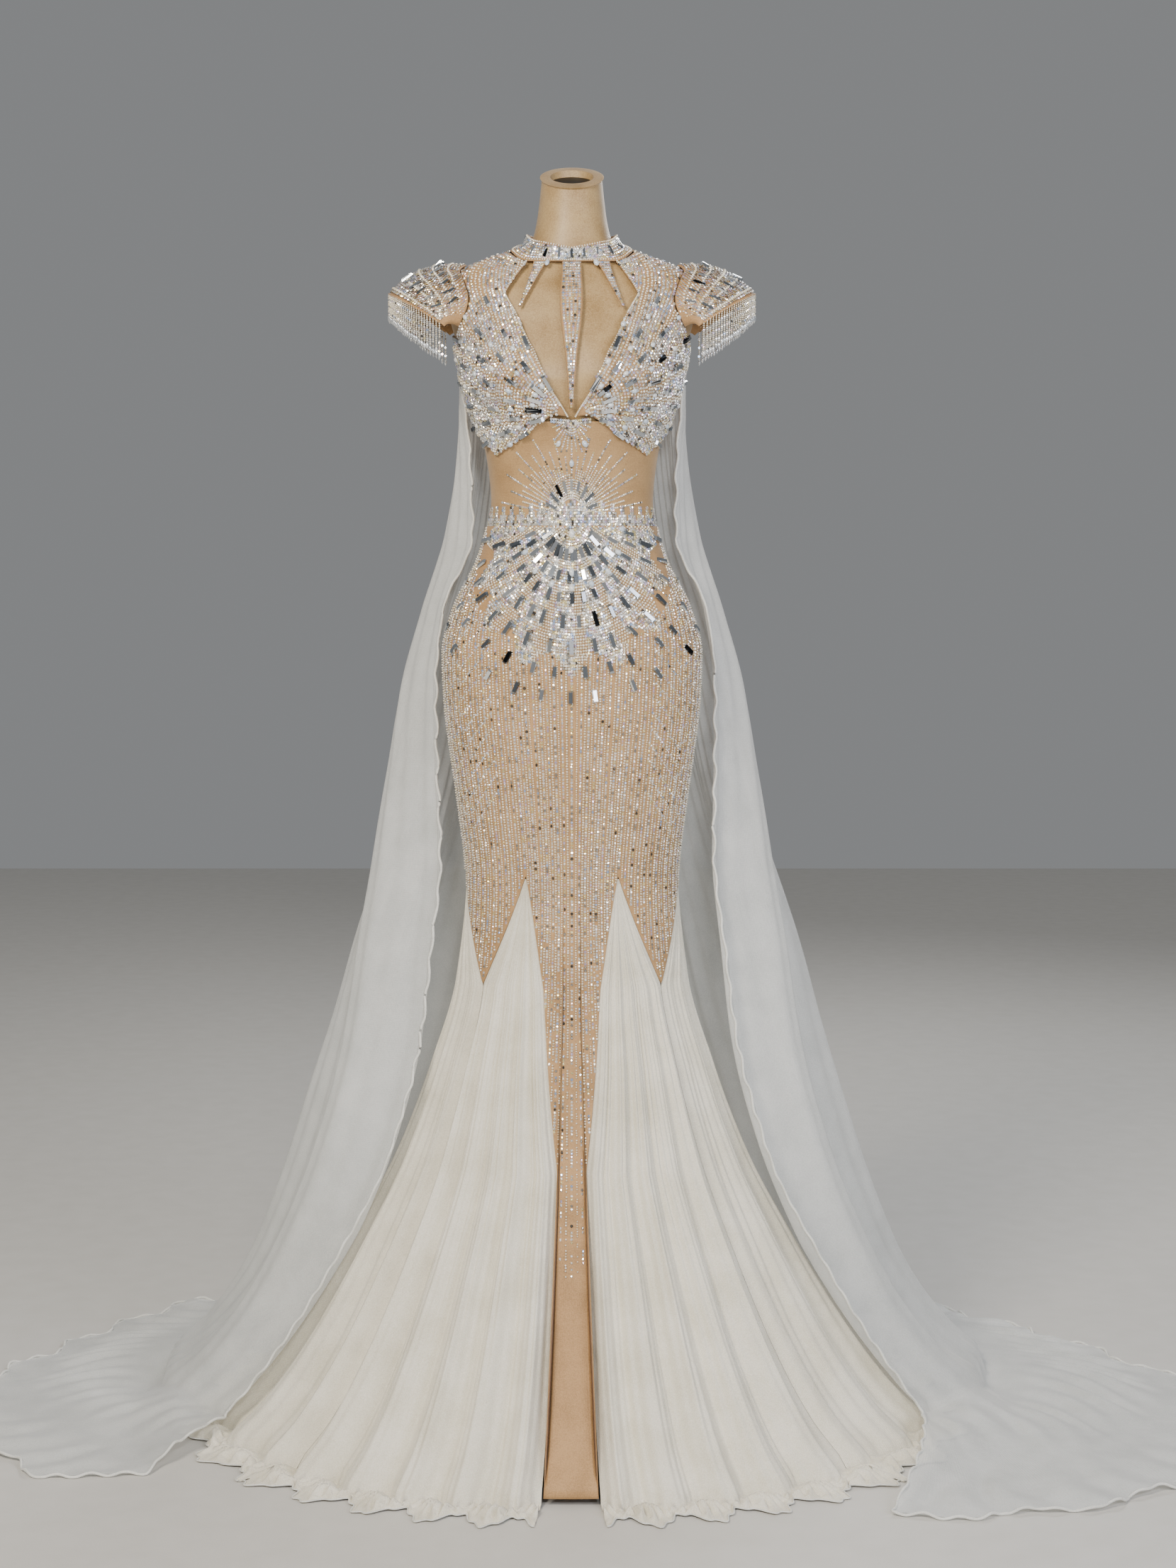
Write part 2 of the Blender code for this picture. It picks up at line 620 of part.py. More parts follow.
def fringe(name, hand, collection):
    """A narrow strip outside the cap's edge, with a strand drawn down from every other stretch."""
    stops = 2 * STRANDS + 1
    edit = bmesh.new()
    rings = []
    for k in range(stops):
        q = mix(0.015, 0.985, k / (stops - 1))
        here, ahead = cap_edge(hand, q), cap_edge(hand, q + 0.002)
        along = ahead - here
        outward = Vector((along.y, -along.x, 0.0)).normalized()
        if outward.x * hand < 0:
            outward = -outward
        start = here + outward * (BEADED_WALL + STRIP_GAP)
        corners = [
            start + Vector((0.0, 0.0, STRIP_TALL / 2)),
            start + outward * STRIP_THICK + Vector((0.0, 0.0, STRIP_TALL / 2)),
            start + outward * STRIP_THICK - Vector((0.0, 0.0, STRIP_TALL / 2)),
            start - Vector((0.0, 0.0, STRIP_TALL / 2)),
        ]
        rings.append([edit.verts.new(corner) for corner in corners])
    undersides = []
    for k, (first, second) in enumerate(zip(rings, rings[1:])):
        for a in range(4):
            b = (a + 1) % 4
            face = edit.faces.new((first[a], first[b], second[b], second[a]))
            if a == 2 and k % 2 == 1:
                undersides.append(face)
    edit.faces.new(rings[0][::-1])
    edit.faces.new(rings[-1])
    for face in undersides[:]:
        q = abs(face.calc_center_median().x) - CAP_LOW_X
        tipness = max(0.0, q / (CAP_TIP - CAP_LOW_X))
        length = mix(STRAND_LONG, STRAND_SHORT, min(1.0, tipness) ** 3)
        grown = bmesh.ops.extrude_discrete_faces(edit, faces=[face])["faces"][0]
        middle = grown.calc_center_median()
        for corner in grown.verts:
            corner.co = middle.lerp(corner.co, 0.85) - Vector((0.0, 0.0, length))
    bmesh.ops.recalc_face_normals(edit, faces=edit.faces)
    mesh = bpy.data.meshes.new(name)
    edit.to_mesh(mesh)
    edit.free()
    keep(name, mesh, beaded_mesh(), collection, False)


def midriff(collection):
    """The sheer nude mesh between the bodice and the skirt."""
    columns, top = 24, 1.343
    heights = [mix(top, WAIST + SEAM, i / 5) for i in range(6)]
    grid = [[skin(360 * j / columns, h) for j in range(columns)] for h in heights]
    cloth("midriff_mesh", grid, True, MESH_WALL, nude_mesh(), collection)


def zigzag(bearing):
    return straight([e.bearing for e in ZIGZAG], [e.height for e in ZIGZAG], abs(bearing))


def skirt_panel(name, bearings, back, collection):
    """A beaded sheath panel, from the waist to its points between the godets."""
    upper = [mix(WAIST, FORM_BOTTOM, i / 8) for i in range(9)]
    lower_rows = 5
    grid = [[skin(180 + b if back else b, h) for b in bearings] for h in upper]
    for i in range(1, lower_rows + 1):
        row = []
        for b in bearings:
            place = 180 + b if back else b
            short = 180 - abs(b) if back else abs(b)
            row.append(skin(place, mix(upper[-1], zigzag(short), i / lower_rows)))
        grid.append(row)
    cloth(name, grid, False, BEADED_WALL, beaded_mesh(), collection)


def mirrored(steps):
    return [-s for s in reversed(steps)] + [0.0] + list(steps)


def skirt(collection):
    seam = math.degrees(SEAM / 0.14) / 2
    gore = [GORE_HALF - 0.4, GORE_HALF, 12.5, GORE_BEND]
    front = mirrored(gore + [26.5, 34, 43, 51.5, 60, 69, 79, 90 - seam])
    skirt_panel("skirt_front", front, False, collection)
    back = mirrored([15, 22.5, 30, 45, 60, 75, 90 - seam])
    skirt_panel("skirt_back", back, True, collection)


def godet_edges(godet, height):
    """The bearings of a godet's two seams at a height."""
    drop = (GODET_TOP - height) / (GODET_TOP - PANEL_TIP)
    gap = math.degrees(GODET_SEAM / max(0.14, oval_of(FIGURE, godet.apex, height)))
    if drop <= 1:
        low_end = GORE_BEND if godet.name == "front" else godet.low_tip
        high_end = BACK_BEND if godet.name == "back" else godet.high_tip
        low, high = mix(godet.apex, low_end, drop), mix(godet.apex, high_end, drop)
    elif godet.name == "front":
        low = straight([0.0, GORE_NARROW, PANEL_TIP], [GORE_HALF, GORE_HALF, GORE_BEND], height)
        high = godet.high_tip
    elif godet.name == "back":
        low = godet.low_tip
        high = straight([0.0, BACK_POINT, PANEL_TIP], [180, 180, BACK_BEND], height)
    else:
        low, high = godet.low_tip, godet.high_tip
    least = APEX_WIDTH / 2
    low, high = low + gap, high - gap
    if high - low < 2 * least:
        low, high = godet.apex - least, godet.apex + least
    return low, high


def pleat(godet, across, height, hand):
    """The gathers' waves, which grow with depth and die out at the seams."""
    depth = (GODET_TOP - height) / GODET_TOP
    phase = 0.7 * godet.apex + (1.1 if hand > 0 else 0.0)
    wave = 0.5 + 0.5 * math.sin(2 * math.pi * godet.pleats * across + phase)
    window = min(1.0, 5 * math.sin(math.pi * across))
    fullness = GODET_FULLNESS * depth * math.sin(math.pi * across)
    return PLEAT_RISE * depth ** 1.2 * wave * window + fullness


def pooled_row(godet, reach, hand):
    """A row of the hem that lies on the floor; reach runs from 0 at the fold to 1 at the hem."""
    low, high = godet_edges(godet, 0.0)
    fold_height = FIGURE[-1].height
    row = []
    for j in range(godet.columns):
        across = j / (godet.columns - 1)
        bearing = hand * mix(low, high, across)
        turns = 2 * math.pi * godet.pleats * across
        foot = figure_radius(bearing, fold_height) + pleat(godet, across, fold_height, hand)
        hem = oval(bearing, HEM.side, HEM.front, HEM.back) + HEM_WAVE * math.sin(turns + godet.apex)
        ripple = HEM_RIPPLE * (0.5 - 0.5 * math.cos(turns)) * (1.2 - reach)
        row.append(around(bearing, mix(foot, hem, reach), FLOOR_CLEAR + ripple))
    return row


def godet_piece(godet, hand, collection):
    """One gathered tulle insert, from its apex to a hem that pools on the floor."""
    side = "right" if hand > 0 else "left"
    grid = []
    for height in GODET_ROWS:
        low, high = godet_edges(godet, height)
        row = []
        for j in range(godet.columns):
            across = j / (godet.columns - 1)
            bearing = hand * mix(low, high, across)
            radius = figure_radius(bearing, height) + pleat(godet, across, height, hand)
            row.append(around(bearing, radius, height))
        grid.append(row)
    grid += [pooled_row(godet, reach, hand) for reach in (0.45, 1.0)]
    if hand < 0:
        grid = [row[::-1] for row in grid]
    cloth(f"godet_{godet.name}_{side}", grid, False, TULLE_WALL, ivory_tulle(), collection)


def lining(name, hem, out, spread, rows, collection):
    columns = 20
    heights = [mix(LINING[0].height, hem, i / (rows - 1)) for i in range(rows)]
    grid = []
    for h in heights:
        extra = out + spread * (LINING[0].height - h)
        bearings = [360 * j / columns for j in range(columns)]
        grid.append([around(b, oval_of(LINING, b, h) + extra, h) for b in bearings])
    cloth(name, grid, True, TULLE_WALL, lining_satin(), collection)


def linings(collection):
    lining("lining_long", LONG_HEM, 0.0, 0.0, 6, collection)
    lining("lining_short", SHORT_HEM, LINING_STEP, LINING_SPREAD, 5, collection)


def envelope(bearing, height):
    """The furthest that the gown's own skirt and body reach, pleats and all."""
    depth = max(0.0, (GODET_TOP - height) / GODET_TOP)
    pleats = PLEAT_RISE * depth ** 1.2 + GODET_FULLNESS * depth
    return figure_radius(bearing, height) + pleats + BEADED_WALL


def cape_wave(t, hand):
    """Folds of uneven width, measured from the middle of the back (t = 0) to the front edge."""
    phase = 0.9 if hand > 0 else 0.0
    return 0.5 - 0.5 * math.cos(2 * math.pi * CAPE_WAVES * (t + 0.05 * math.sin(5 * t + phase)))


def cape_hanging(row, t, hand):
    """A point of the cape above the floor."""
    edge_bearing = math.degrees(math.atan2(row.edge_x, -row.edge_y))
    side_bearing = math.degrees(math.atan2(row.side_x, -row.side_y))
    bearing = mix(180, edge_bearing, t)
    radii = [math.hypot(row.edge_x, row.edge_y), math.hypot(row.side_x, row.side_y), row.back_y]
    radius = smooth([edge_bearing, side_bearing, 180], radii, bearing)
    least = envelope(bearing, row.height) + CAPE_CLEAR
    radius = max(radius - row.fold, least) + 2 * row.fold * cape_wave(t, hand)
    return around(hand * bearing, radius, row.height)


def train_point(foot, t, fraction, hand):
    """A point of the train, which lies on the floor beyond the godets' hem."""
    table = TRAIN_RIGHT if hand > 0 else TRAIN_LEFT
    edge = TRAIN_EDGE_RIGHT if hand > 0 else TRAIN_EDGE_LEFT
    start_bearing = math.degrees(math.atan2(abs(foot.x), -foot.y))
    bearing = mix(start_bearing, mix(180, edge, t), fraction ** 0.8)
    end = smooth([r.bearing for r in table], [r.reach for r in table], mix(180, edge, t))
    end += 0.012 * math.sin(2 * math.pi * 2.5 * CAPE_WAVES * t)
    start = math.hypot(foot.x, foot.y)
    radius = mix(start, end, fraction)
    beyond = radius - oval(bearing, HEM.side, HEM.front, HEM.back) - 0.020
    low = min(1.0, max(0.0, beyond / 0.060))
    ripple = 0.010 * cape_wave(t, hand) * (1.15 - fraction)
    return around(hand * bearing, radius, mix(CAPE_OVER_HEM, CAPE_FLOOR, low) + ripple)


def cape_column(t, hand):
    column = []
    for edge, out in zip(CAPE_SHOULDER, CAPE_SHOULDER_OUT):
        column.append(skin(hand * mix(180, edge.bearing, t), edge.height, out))
    column += [cape_hanging(row, t, hand) for row in CAPE]
    foot = column[-1].copy()
    column += [train_point(foot, t, fraction, hand) for fraction in TRAIN_FRACTIONS]
    return column


def cape(collection):
    """The long organza cape, from the back of the collar to its train on the floor."""
    half = CAPE_COLUMNS // 2
    right = [cape_column(j / half, 1) for j in range(half, 0, -1)]
    left = [cape_column(j / half, -1) for j in range(0, half + 1)]
    columns = right + left
    grid = [list(row) for row in zip(*columns)]
    cloth("cape", grid, False, CAPE_WALL, organza(), collection)


def clear_scene():
    for obj in list(bpy.data.objects):
        bpy.data.objects.remove(obj, do_unlink=True)


def main():
    clear_scene()
    gown = bpy.data.collections.new("pageant_gown")
    bpy.context.scene.collection.children.link(gown)
    dress_form(gown)
    neck_socket(gown)
    stand(gown)
    collar(gown)
    bar(gown)
    midriff(gown)
    skirt(gown)
    linings(gown)
    for side, hand in (("left", -1), ("right", 1)):
        prong(f"keyhole_prong_{side}", hand, gown)
        bodice_front(f"bodice_front_{side}", hand, gown)
        bodice_back(f"bodice_back_{side}", hand, gown)
        cap_sleeve(f"cap_sleeve_{side}", hand, gown)
        fringe(f"sleeve_fringe_{side}", hand, gown)
        for godet in GODETS:
            godet_piece(godet, hand, gown)
    cape(gown)


main()
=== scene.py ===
"""Pageant gown on a limbless dress form: how it looks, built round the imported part."""

import logging
import math
from collections.abc import Callable
from dataclasses import dataclass, field
from enum import Enum

import bpy
import numpy as np
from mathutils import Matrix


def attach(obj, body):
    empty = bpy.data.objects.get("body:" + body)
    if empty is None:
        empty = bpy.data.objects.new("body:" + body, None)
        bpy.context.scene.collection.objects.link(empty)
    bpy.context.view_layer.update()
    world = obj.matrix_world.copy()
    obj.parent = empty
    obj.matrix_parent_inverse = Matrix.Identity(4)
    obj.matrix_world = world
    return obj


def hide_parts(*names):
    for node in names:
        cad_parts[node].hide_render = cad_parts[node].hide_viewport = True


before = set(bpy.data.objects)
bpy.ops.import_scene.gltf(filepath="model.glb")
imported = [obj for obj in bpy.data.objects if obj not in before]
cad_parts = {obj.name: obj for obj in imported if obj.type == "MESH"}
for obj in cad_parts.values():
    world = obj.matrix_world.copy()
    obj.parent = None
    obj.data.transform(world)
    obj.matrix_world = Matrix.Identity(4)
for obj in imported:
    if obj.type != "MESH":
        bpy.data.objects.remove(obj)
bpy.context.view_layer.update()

log = logging.getLogger("gown")
Array = np.ndarray

FIGURE_ROWS = np.array([
    (1.662, 0.0430, 0.0480, 0.0440), (1.625, 0.0470, 0.0500, 0.0480), (1.592, 0.0530, 0.0540, 0.0540),
    (1.575, 0.0620, 0.0560, 0.0600), (1.562, 0.0900, 0.0580, 0.0680), (1.549, 0.1260, 0.0630, 0.0760),
    (1.534, 0.1530, 0.0730, 0.0830), (1.512, 0.1640, 0.0870, 0.0900), (1.480, 0.1630, 0.1020, 0.0960),
    (1.440, 0.1510, 0.1140, 0.0980), (1.400, 0.1430, 0.1180, 0.0970), (1.360, 0.1315, 0.1100, 0.0910),
    (1.305, 0.1125, 0.0940, 0.0800), (1.242, 0.1060, 0.0860, 0.0730), (1.205, 0.1120, 0.0870, 0.0800),
    (1.164, 0.1250, 0.0940, 0.0950), (1.103, 0.1555, 0.1060, 0.1170), (1.044, 0.1700, 0.1120, 0.1260),
    (0.982, 0.1680, 0.1120, 0.1220), (0.903, 0.1587, 0.1080, 0.1080), (0.845, 0.1508, 0.1040, 0.1000),
    (0.745, 0.1405, 0.0980, 0.0940), (0.610, 0.1480, 0.1100, 0.1070), (0.500, 0.1730, 0.1330, 0.1370),
    (0.380, 0.2120, 0.1640, 0.1860), (0.270, 0.2640, 0.2000, 0.2440), (0.150, 0.3300, 0.2450, 0.3200),
    (0.060, 0.3950, 0.2900, 0.3950), (0.014, 0.4450, 0.3250, 0.4500),
])
UNROLLED = 0.125
FORM_INSET, FORM_BOTTOM, FORM_ROUND = 0.0036, 0.800, 0.018
NECK_TOP, NECK_START, NECK_LEAN = 1.662, 1.600, 24.0
MESH_WALL, BEADED_WALL, TULLE_WALL = 0.0010, 0.0016, 0.0012
BODICE_OUT, BAR_OUT, CAP_OUT, SEAM = 0.0024, 0.0020, 0.0058, 0.0006
COLLAR_BOTTOM = ((0, 1.5470), (43, 1.5480), (65, 1.5600), (90, 1.5710), (180, 1.5770))
COLLAR_TOP = ((0, 1.5670), (45, 1.5760), (90, 1.5890), (180, 1.5920))
KEYHOLE = ((0.0560, 1.5480), (0.0840, 1.5060), (0.0700, 1.4810), (0.0460, 1.4300), (0.0220, 1.3780),
           (0.0040, 1.3500))
BODICE_HEM = ((0.0040, 1.3500), (0.0240, 1.3520), (0.0580, 1.3270), (0.0940, 1.3020), (0.1080, 1.3180),
              (0.2, 1.338))
SIDE_HEM, BACK_HEM, SHOULDER, ARMPIT = 1.338, 1.330, 1.5450, 1.4400
BAR = ((1.5464, 0.0120), (1.4980, 0.0145), (1.4170, 0.0068), (1.3600, 0.0024))
CAP_LOW, CAP_LOW_X, CAP_LOW_Y = 1.4660, 0.1640, 0.0640
CAP_TIP, CAP_TIP_HEIGHT, CAP_DOME = 0.2370, 1.5130, 0.0130
WAIST, GODET_TOP, PANEL_TIP = 1.211, 0.757, 0.610
GORE_HALF, GORE_NARROW, GORE_BEND, BACK_POINT, BACK_BEND = 6.4, 0.380, 19.0, 0.450, 165.0
ZIGZAG = (
    (0, 0.010), (6.0, 0.010), (6.4, 0.380), (19, 0.610), (34, 0.757), (60, 0.610), (90, 0.757),
    (120, 0.610), (150, 0.757), (165, 0.610), (180, 0.450),
)
HEM_OVAL, FLOOR_CLEAR = (0.520, 0.385, 0.560), 0.0012
LINING_ROWS = np.array([
    (0.745, 0.1363, 0.0938, 0.0898), (0.600, 0.1360, 0.0980, 0.0950), (0.400, 0.1500, 0.1180, 0.1180),
    (0.200, 0.1640, 0.1420, 0.1400), (0.008, 0.1780, 0.1640, 0.1600),
])
CAPE_SHOULDER = ((118, 1.5690, 0.0045), (120, 1.5500, 0.0085), (121, 1.5200, 0.0110), (118, 1.4850, 0.0140),
                 (113, 1.4450, 0.0170))
CAPE_ROWS = np.array([
    (1.385, 0.146, 0.050, 0.153, 0.062, 0.128, 0.0020), (1.305, 0.137, 0.045, 0.154, 0.070, 0.136, 0.0040),
    (1.200, 0.134, 0.040, 0.166, 0.078, 0.145, 0.0060), (1.100, 0.174, 0.034, 0.193, 0.084, 0.162, 0.0080),
    (1.000, 0.184, 0.028, 0.221, 0.092, 0.178, 0.0100), (0.890, 0.182, 0.016, 0.241, 0.100, 0.194, 0.0120),
    (0.770, 0.178, 0.000, 0.268, 0.110, 0.226, 0.0150), (0.650, 0.190, -0.020, 0.297, 0.120, 0.268, 0.0180),
    (0.530, 0.204, -0.040, 0.322, 0.130, 0.316, 0.0200), (0.400, 0.238, -0.070, 0.356, 0.145, 0.384, 0.0220),
    (0.280, 0.286, -0.080, 0.398, 0.165, 0.455, 0.0220), (0.170, 0.345, -0.080, 0.450, 0.185, 0.530, 0.0200),
    (0.080, 0.405, -0.080, 0.520, 0.195, 0.595, 0.0160), (0.036, 0.445, -0.080, 0.575, 0.200, 0.640, 0.0080),
])
RING_STEP, FAN_TOP, HUB_Z = 0.0037, 1.345, WAIST + 0.011
LARGE_SEED, LARGE_CRYSTAL = (0.0019, 0.0019, 0.0016), (0.0023, 0.0023, 0.0019)
CAPE_WAVES, CAPE_CLEAR, CAPE_FLOOR, CAPE_OVER_HEM = 5.5, 0.006, 0.0030, 0.026
TRAIN_LEFT = ((68, 0.600), (72, 0.716), (86, 0.802), (94, 0.856), (110, 0.812), (128, 0.790), (141, 0.746),
              (158, 0.722), (180, 0.730))
TRAIN_RIGHT = (
    (48, 0.540), (60, 0.690), (68, 0.783), (87, 0.861), (96, 0.880), (110, 0.815), (124, 0.752),
    (141, 0.722), (158, 0.718), (180, 0.730),
)


def mix(a: Array, b: Array, t: Array) -> Array:
    """The value a share t of the way from a to b."""
    return a + (b - a) * t


def linear(code: str) -> tuple[float, float, float, float]:
    """Turns an sRGB hex colour to linear light.

    Args:
        code: Six hex digits after a hash.

    Returns:
        Red, green, blue and a full alpha.
    """
    parts = [int(code[k:k + 2], 16) / 255 for k in (1, 3, 5)]
    light = [p / 12.92 if p <= 0.04045 else ((p + 0.055) / 1.055) ** 2.4 for p in parts]
    return light[0], light[1], light[2], 1.0


class Curve:
    """A curve through a table that has no bump of its own between two rows."""

    def __init__(self, places: Array, values: Array) -> None:
        """Keeps the table in rising order and works out its slopes.

        Args:
            places: Where the values stand.
            values: The values.
        """
        order = np.argsort(places)
        self.places = np.asarray(places, float)[order]
        self.values = np.asarray(values, float)[order]
        steps = np.diff(self.places)
        slopes = np.diff(self.values) / steps
        before, after = slopes[:-1], slopes[1:]
        total = np.where(before + after == 0, 1.0, before + after)
        middle = np.where(before * after <= 0, 0.0, 2 * before * after / total)
        self.leans = np.concatenate([slopes[:1], middle, slopes[-1:]])

    def at(self, place: Array) -> Array:
        """The curve's value at each place.

        Args:
            place: Where to read it.

        Returns:
            The values.
        """
        place = np.clip(place, self.places[0], self.places[-1])
        i = np.clip(np.searchsorted(self.places, place) - 1, 0, len(self.places) - 2)
        step = self.places[i + 1] - self.places[i]
        t = (place - self.places[i]) / step
        rise = self.values[i] + (self.values[i + 1] - self.values[i]) * t * t * (3 - 2 * t)
        return rise + step * (self.leans[i] * t * (1 - t) ** 2 - self.leans[i + 1] * t * t * (1 - t))


def table_curve(rows: tuple) -> Curve:
    """A curve through pairs of place and value."""
    return Curve([r[0] for r in rows], [r[1] for r in rows])


def around(bearing: Array, radius: Array, height: Array) -> Array:
    """Points at a bearing in degrees, a distance from the axis and a height."""
    angle = np.radians(bearing)
    return np.stack(np.broadcast_arrays(radius * np.sin(angle), -radius * np.cos(angle), height), axis=-1)


def oval(bearing: Array, side: Array, front: Array, back: Array) -> Array:
    """How far an oval's rim lies from the axis at each bearing.

    Args:
        bearing: Degrees from the front.
        side: Half its width.
        front: Its reach to the front.
        back: Its reach to the back.

    Returns:
        The distances.
    """
    angle = np.radians(bearing)
    depth = np.where(np.cos(angle) > 0, front, back)
    return 1 / np.hypot(np.sin(angle) / side, np.cos(angle) / depth)


class Figure:
    """The stack of ovals that every piece is measured from."""

    def __init__(self, rows: Array, chest: float) -> None:
        """Makes a curve for the side, the front and the back.

        Args:
            rows: Height, side, front and back of each oval.
            chest: How far the two rises of the chest stand out.
        """
        self.side, self.front, self.back = (Curve(rows[:, 0], rows[:, k]) for k in (1, 2, 3))
        self.chest = chest

    def radius(self, bearing: Array, height: Array) -> Array:
        """How far the surface lies from the axis.

        Args:
            bearing: Degrees from the front, + towards +X.
            height: Metres above the floor.

        Returns:
            The distances.
        """
        base = oval(bearing, self.side.at(height), self.front.at(height), self.back.at(height))
        across = (np.abs((bearing + 180) % 360 - 180) - 34) / 24
        up = (height - 1.400) / 0.045
        return base + self.chest * np.exp(-across * across - up * up)

    def skin(self, bearing: Array, height: Array, out: Array = 0.0) -> Array:
        """Points that stand off the surface, square to it.

        Args:
            bearing: Degrees from the front.
            height: Metres above the floor.
            out: How far they stand off.

        Returns:
            The points.
        """
        bearing, height = np.broadcast_arrays(np.asarray(bearing, float), np.asarray(height, float))
        place = around(bearing, self.radius(bearing, height), height)
        onward = around(bearing + 0.5, self.radius(bearing + 0.5, height), height)
        lower = height - 0.0005
        below = around(bearing, self.radius(bearing, lower), lower)
        return place + unit(np.cross(below - place, onward - place)) * np.asarray(out)[..., None]

    def bearing_at(self, x: Array, height: Array) -> Array:
        """The bearing at which the front is x from the middle.

        Args:
            x: Metres from the middle.
            height: Metres above the floor.

        Returns:
            The bearings, at most 90.
        """
        x, height = np.broadcast_arrays(np.asarray(x, float), np.asarray(height, float))
        low, high = np.zeros(x.shape), np.full(x.shape, 90.0)
        for _ in range(24):
            middle = (low + high) / 2
            short = self.radius(middle, height) * np.sin(np.radians(middle)) < x
            low, high = np.where(short, middle, low), np.where(short, high, middle)
        return low


def unit(vectors: Array) -> Array:
    """The vectors at a length of one."""
    return vectors / np.maximum(np.linalg.norm(vectors, axis=-1, keepdims=True), 1e-12)


BODY = Figure(FIGURE_ROWS, 0.019)
LINING_FORM = Figure(LINING_ROWS, 0.0)


def plain_mesh(name: str, points: Array, faces: list) -> bpy.types.Object:
    """An object with a mesh of the points and faces, at the origin.

    Args:
        name: The piece's name.
        points: One row for each point.
        faces: Tuples of point numbers.

    Returns:
        The object, linked to the scene.
    """
    mesh = bpy.data.meshes.new(name)
    mesh.from_pydata(np.asarray(points).reshape(-1, 3).tolist(), [], faces)
    mesh.update()
    piece = bpy.data.objects.new(name, mesh)
    bpy.context.scene.collection.objects.link(piece)
    return piece


def grid_faces(rows: int, columns: int, wrap: bool) -> Array:
    """The quads of a grid whose rows run down and whose columns run towards + bearing.

    Args:
        rows: How many rows of points.
        columns: How many columns of points.
        wrap: True if the last column joins the first.

    Returns:
        Four point numbers for each quad.
    """
    last = columns if wrap else columns - 1
    i, j = np.meshgrid(np.arange(rows - 1), np.arange(last), indexing="ij")
    k = (j + 1) % columns
    quads = [i * columns + j, (i + 1) * columns + j, (i + 1) * columns + k, i * columns + k]
    return np.stack(quads, axis=-1).reshape(-1, 4)


def shell(name: str, grid: Array, wrap: bool = False, wall: float = 0.0) -> bpy.types.Object:
    """A cloth piece: a smooth grid with a UV map in metres, thickened outwards if it has a wall.

    Args:
        name: The piece's name.
        grid: Points by row and column.
        wrap: Whether the last column joins the first.
        wall: The cloth's thickness, or 0 for a single layer.

    Returns:
        The object.
    """
    rows, columns = grid.shape[:2]
    faces = grid_faces(rows, columns, wrap)
    piece = plain_mesh(name, grid, faces.tolist())
    mesh = piece.data
    across = np.linalg.norm(np.diff(grid, axis=1), axis=-1).mean(axis=0)
    down = np.linalg.norm(np.diff(grid, axis=0), axis=-1).mean(axis=1)
    u = np.concatenate([[0.0], np.cumsum(across)])
    v = np.concatenate([[0.0], np.cumsum(down)])
    spots = np.stack(np.meshgrid(u, -v), axis=-1).reshape(-1, 2)
    order = np.zeros(len(mesh.loops), int)
    mesh.loops.foreach_get("vertex_index", order)
    mesh.uv_layers.new(name="cloth").data.foreach_set("uv", spots[order].ravel().astype(np.float32))
    mesh.shade_smooth()
    if wall:
        thicken = piece.modifiers.new("wall", "SOLIDIFY")
        thicken.thickness = wall
        thicken.offset = 1.0
        thicken.use_even_offset = False
    return piece


def add(tree: bpy.types.NodeTree, kind: str, links: dict | None = None, **settings: object) -> bpy.types.Node:
    """Adds a node, with its settings, its values and what is linked to it.

    Args:
        tree: The node tree.
        kind: Blender's name for the node.
        links: Socket name or number to a value or another node's output.
        settings: The node's own properties.

    Returns:
        The node.
    """
    node = tree.nodes.new(kind)
    for name, value in settings.items():
        setattr(node, name, value)
    for socket, value in (links or {}).items():
        if isinstance(value, bpy.types.NodeSocket):
            tree.links.new(value, node.inputs[socket])
        else:
            node.inputs[socket].default_value = value
    return node


def blank(name: str) -> bpy.types.Material:
    """A material with an empty node tree.

    Args:
        name: Its name.

    Returns:
        The material.
    """
    material = bpy.data.materials.new(name)
    material.use_nodes = True
    material.node_tree.nodes.clear()
    return material


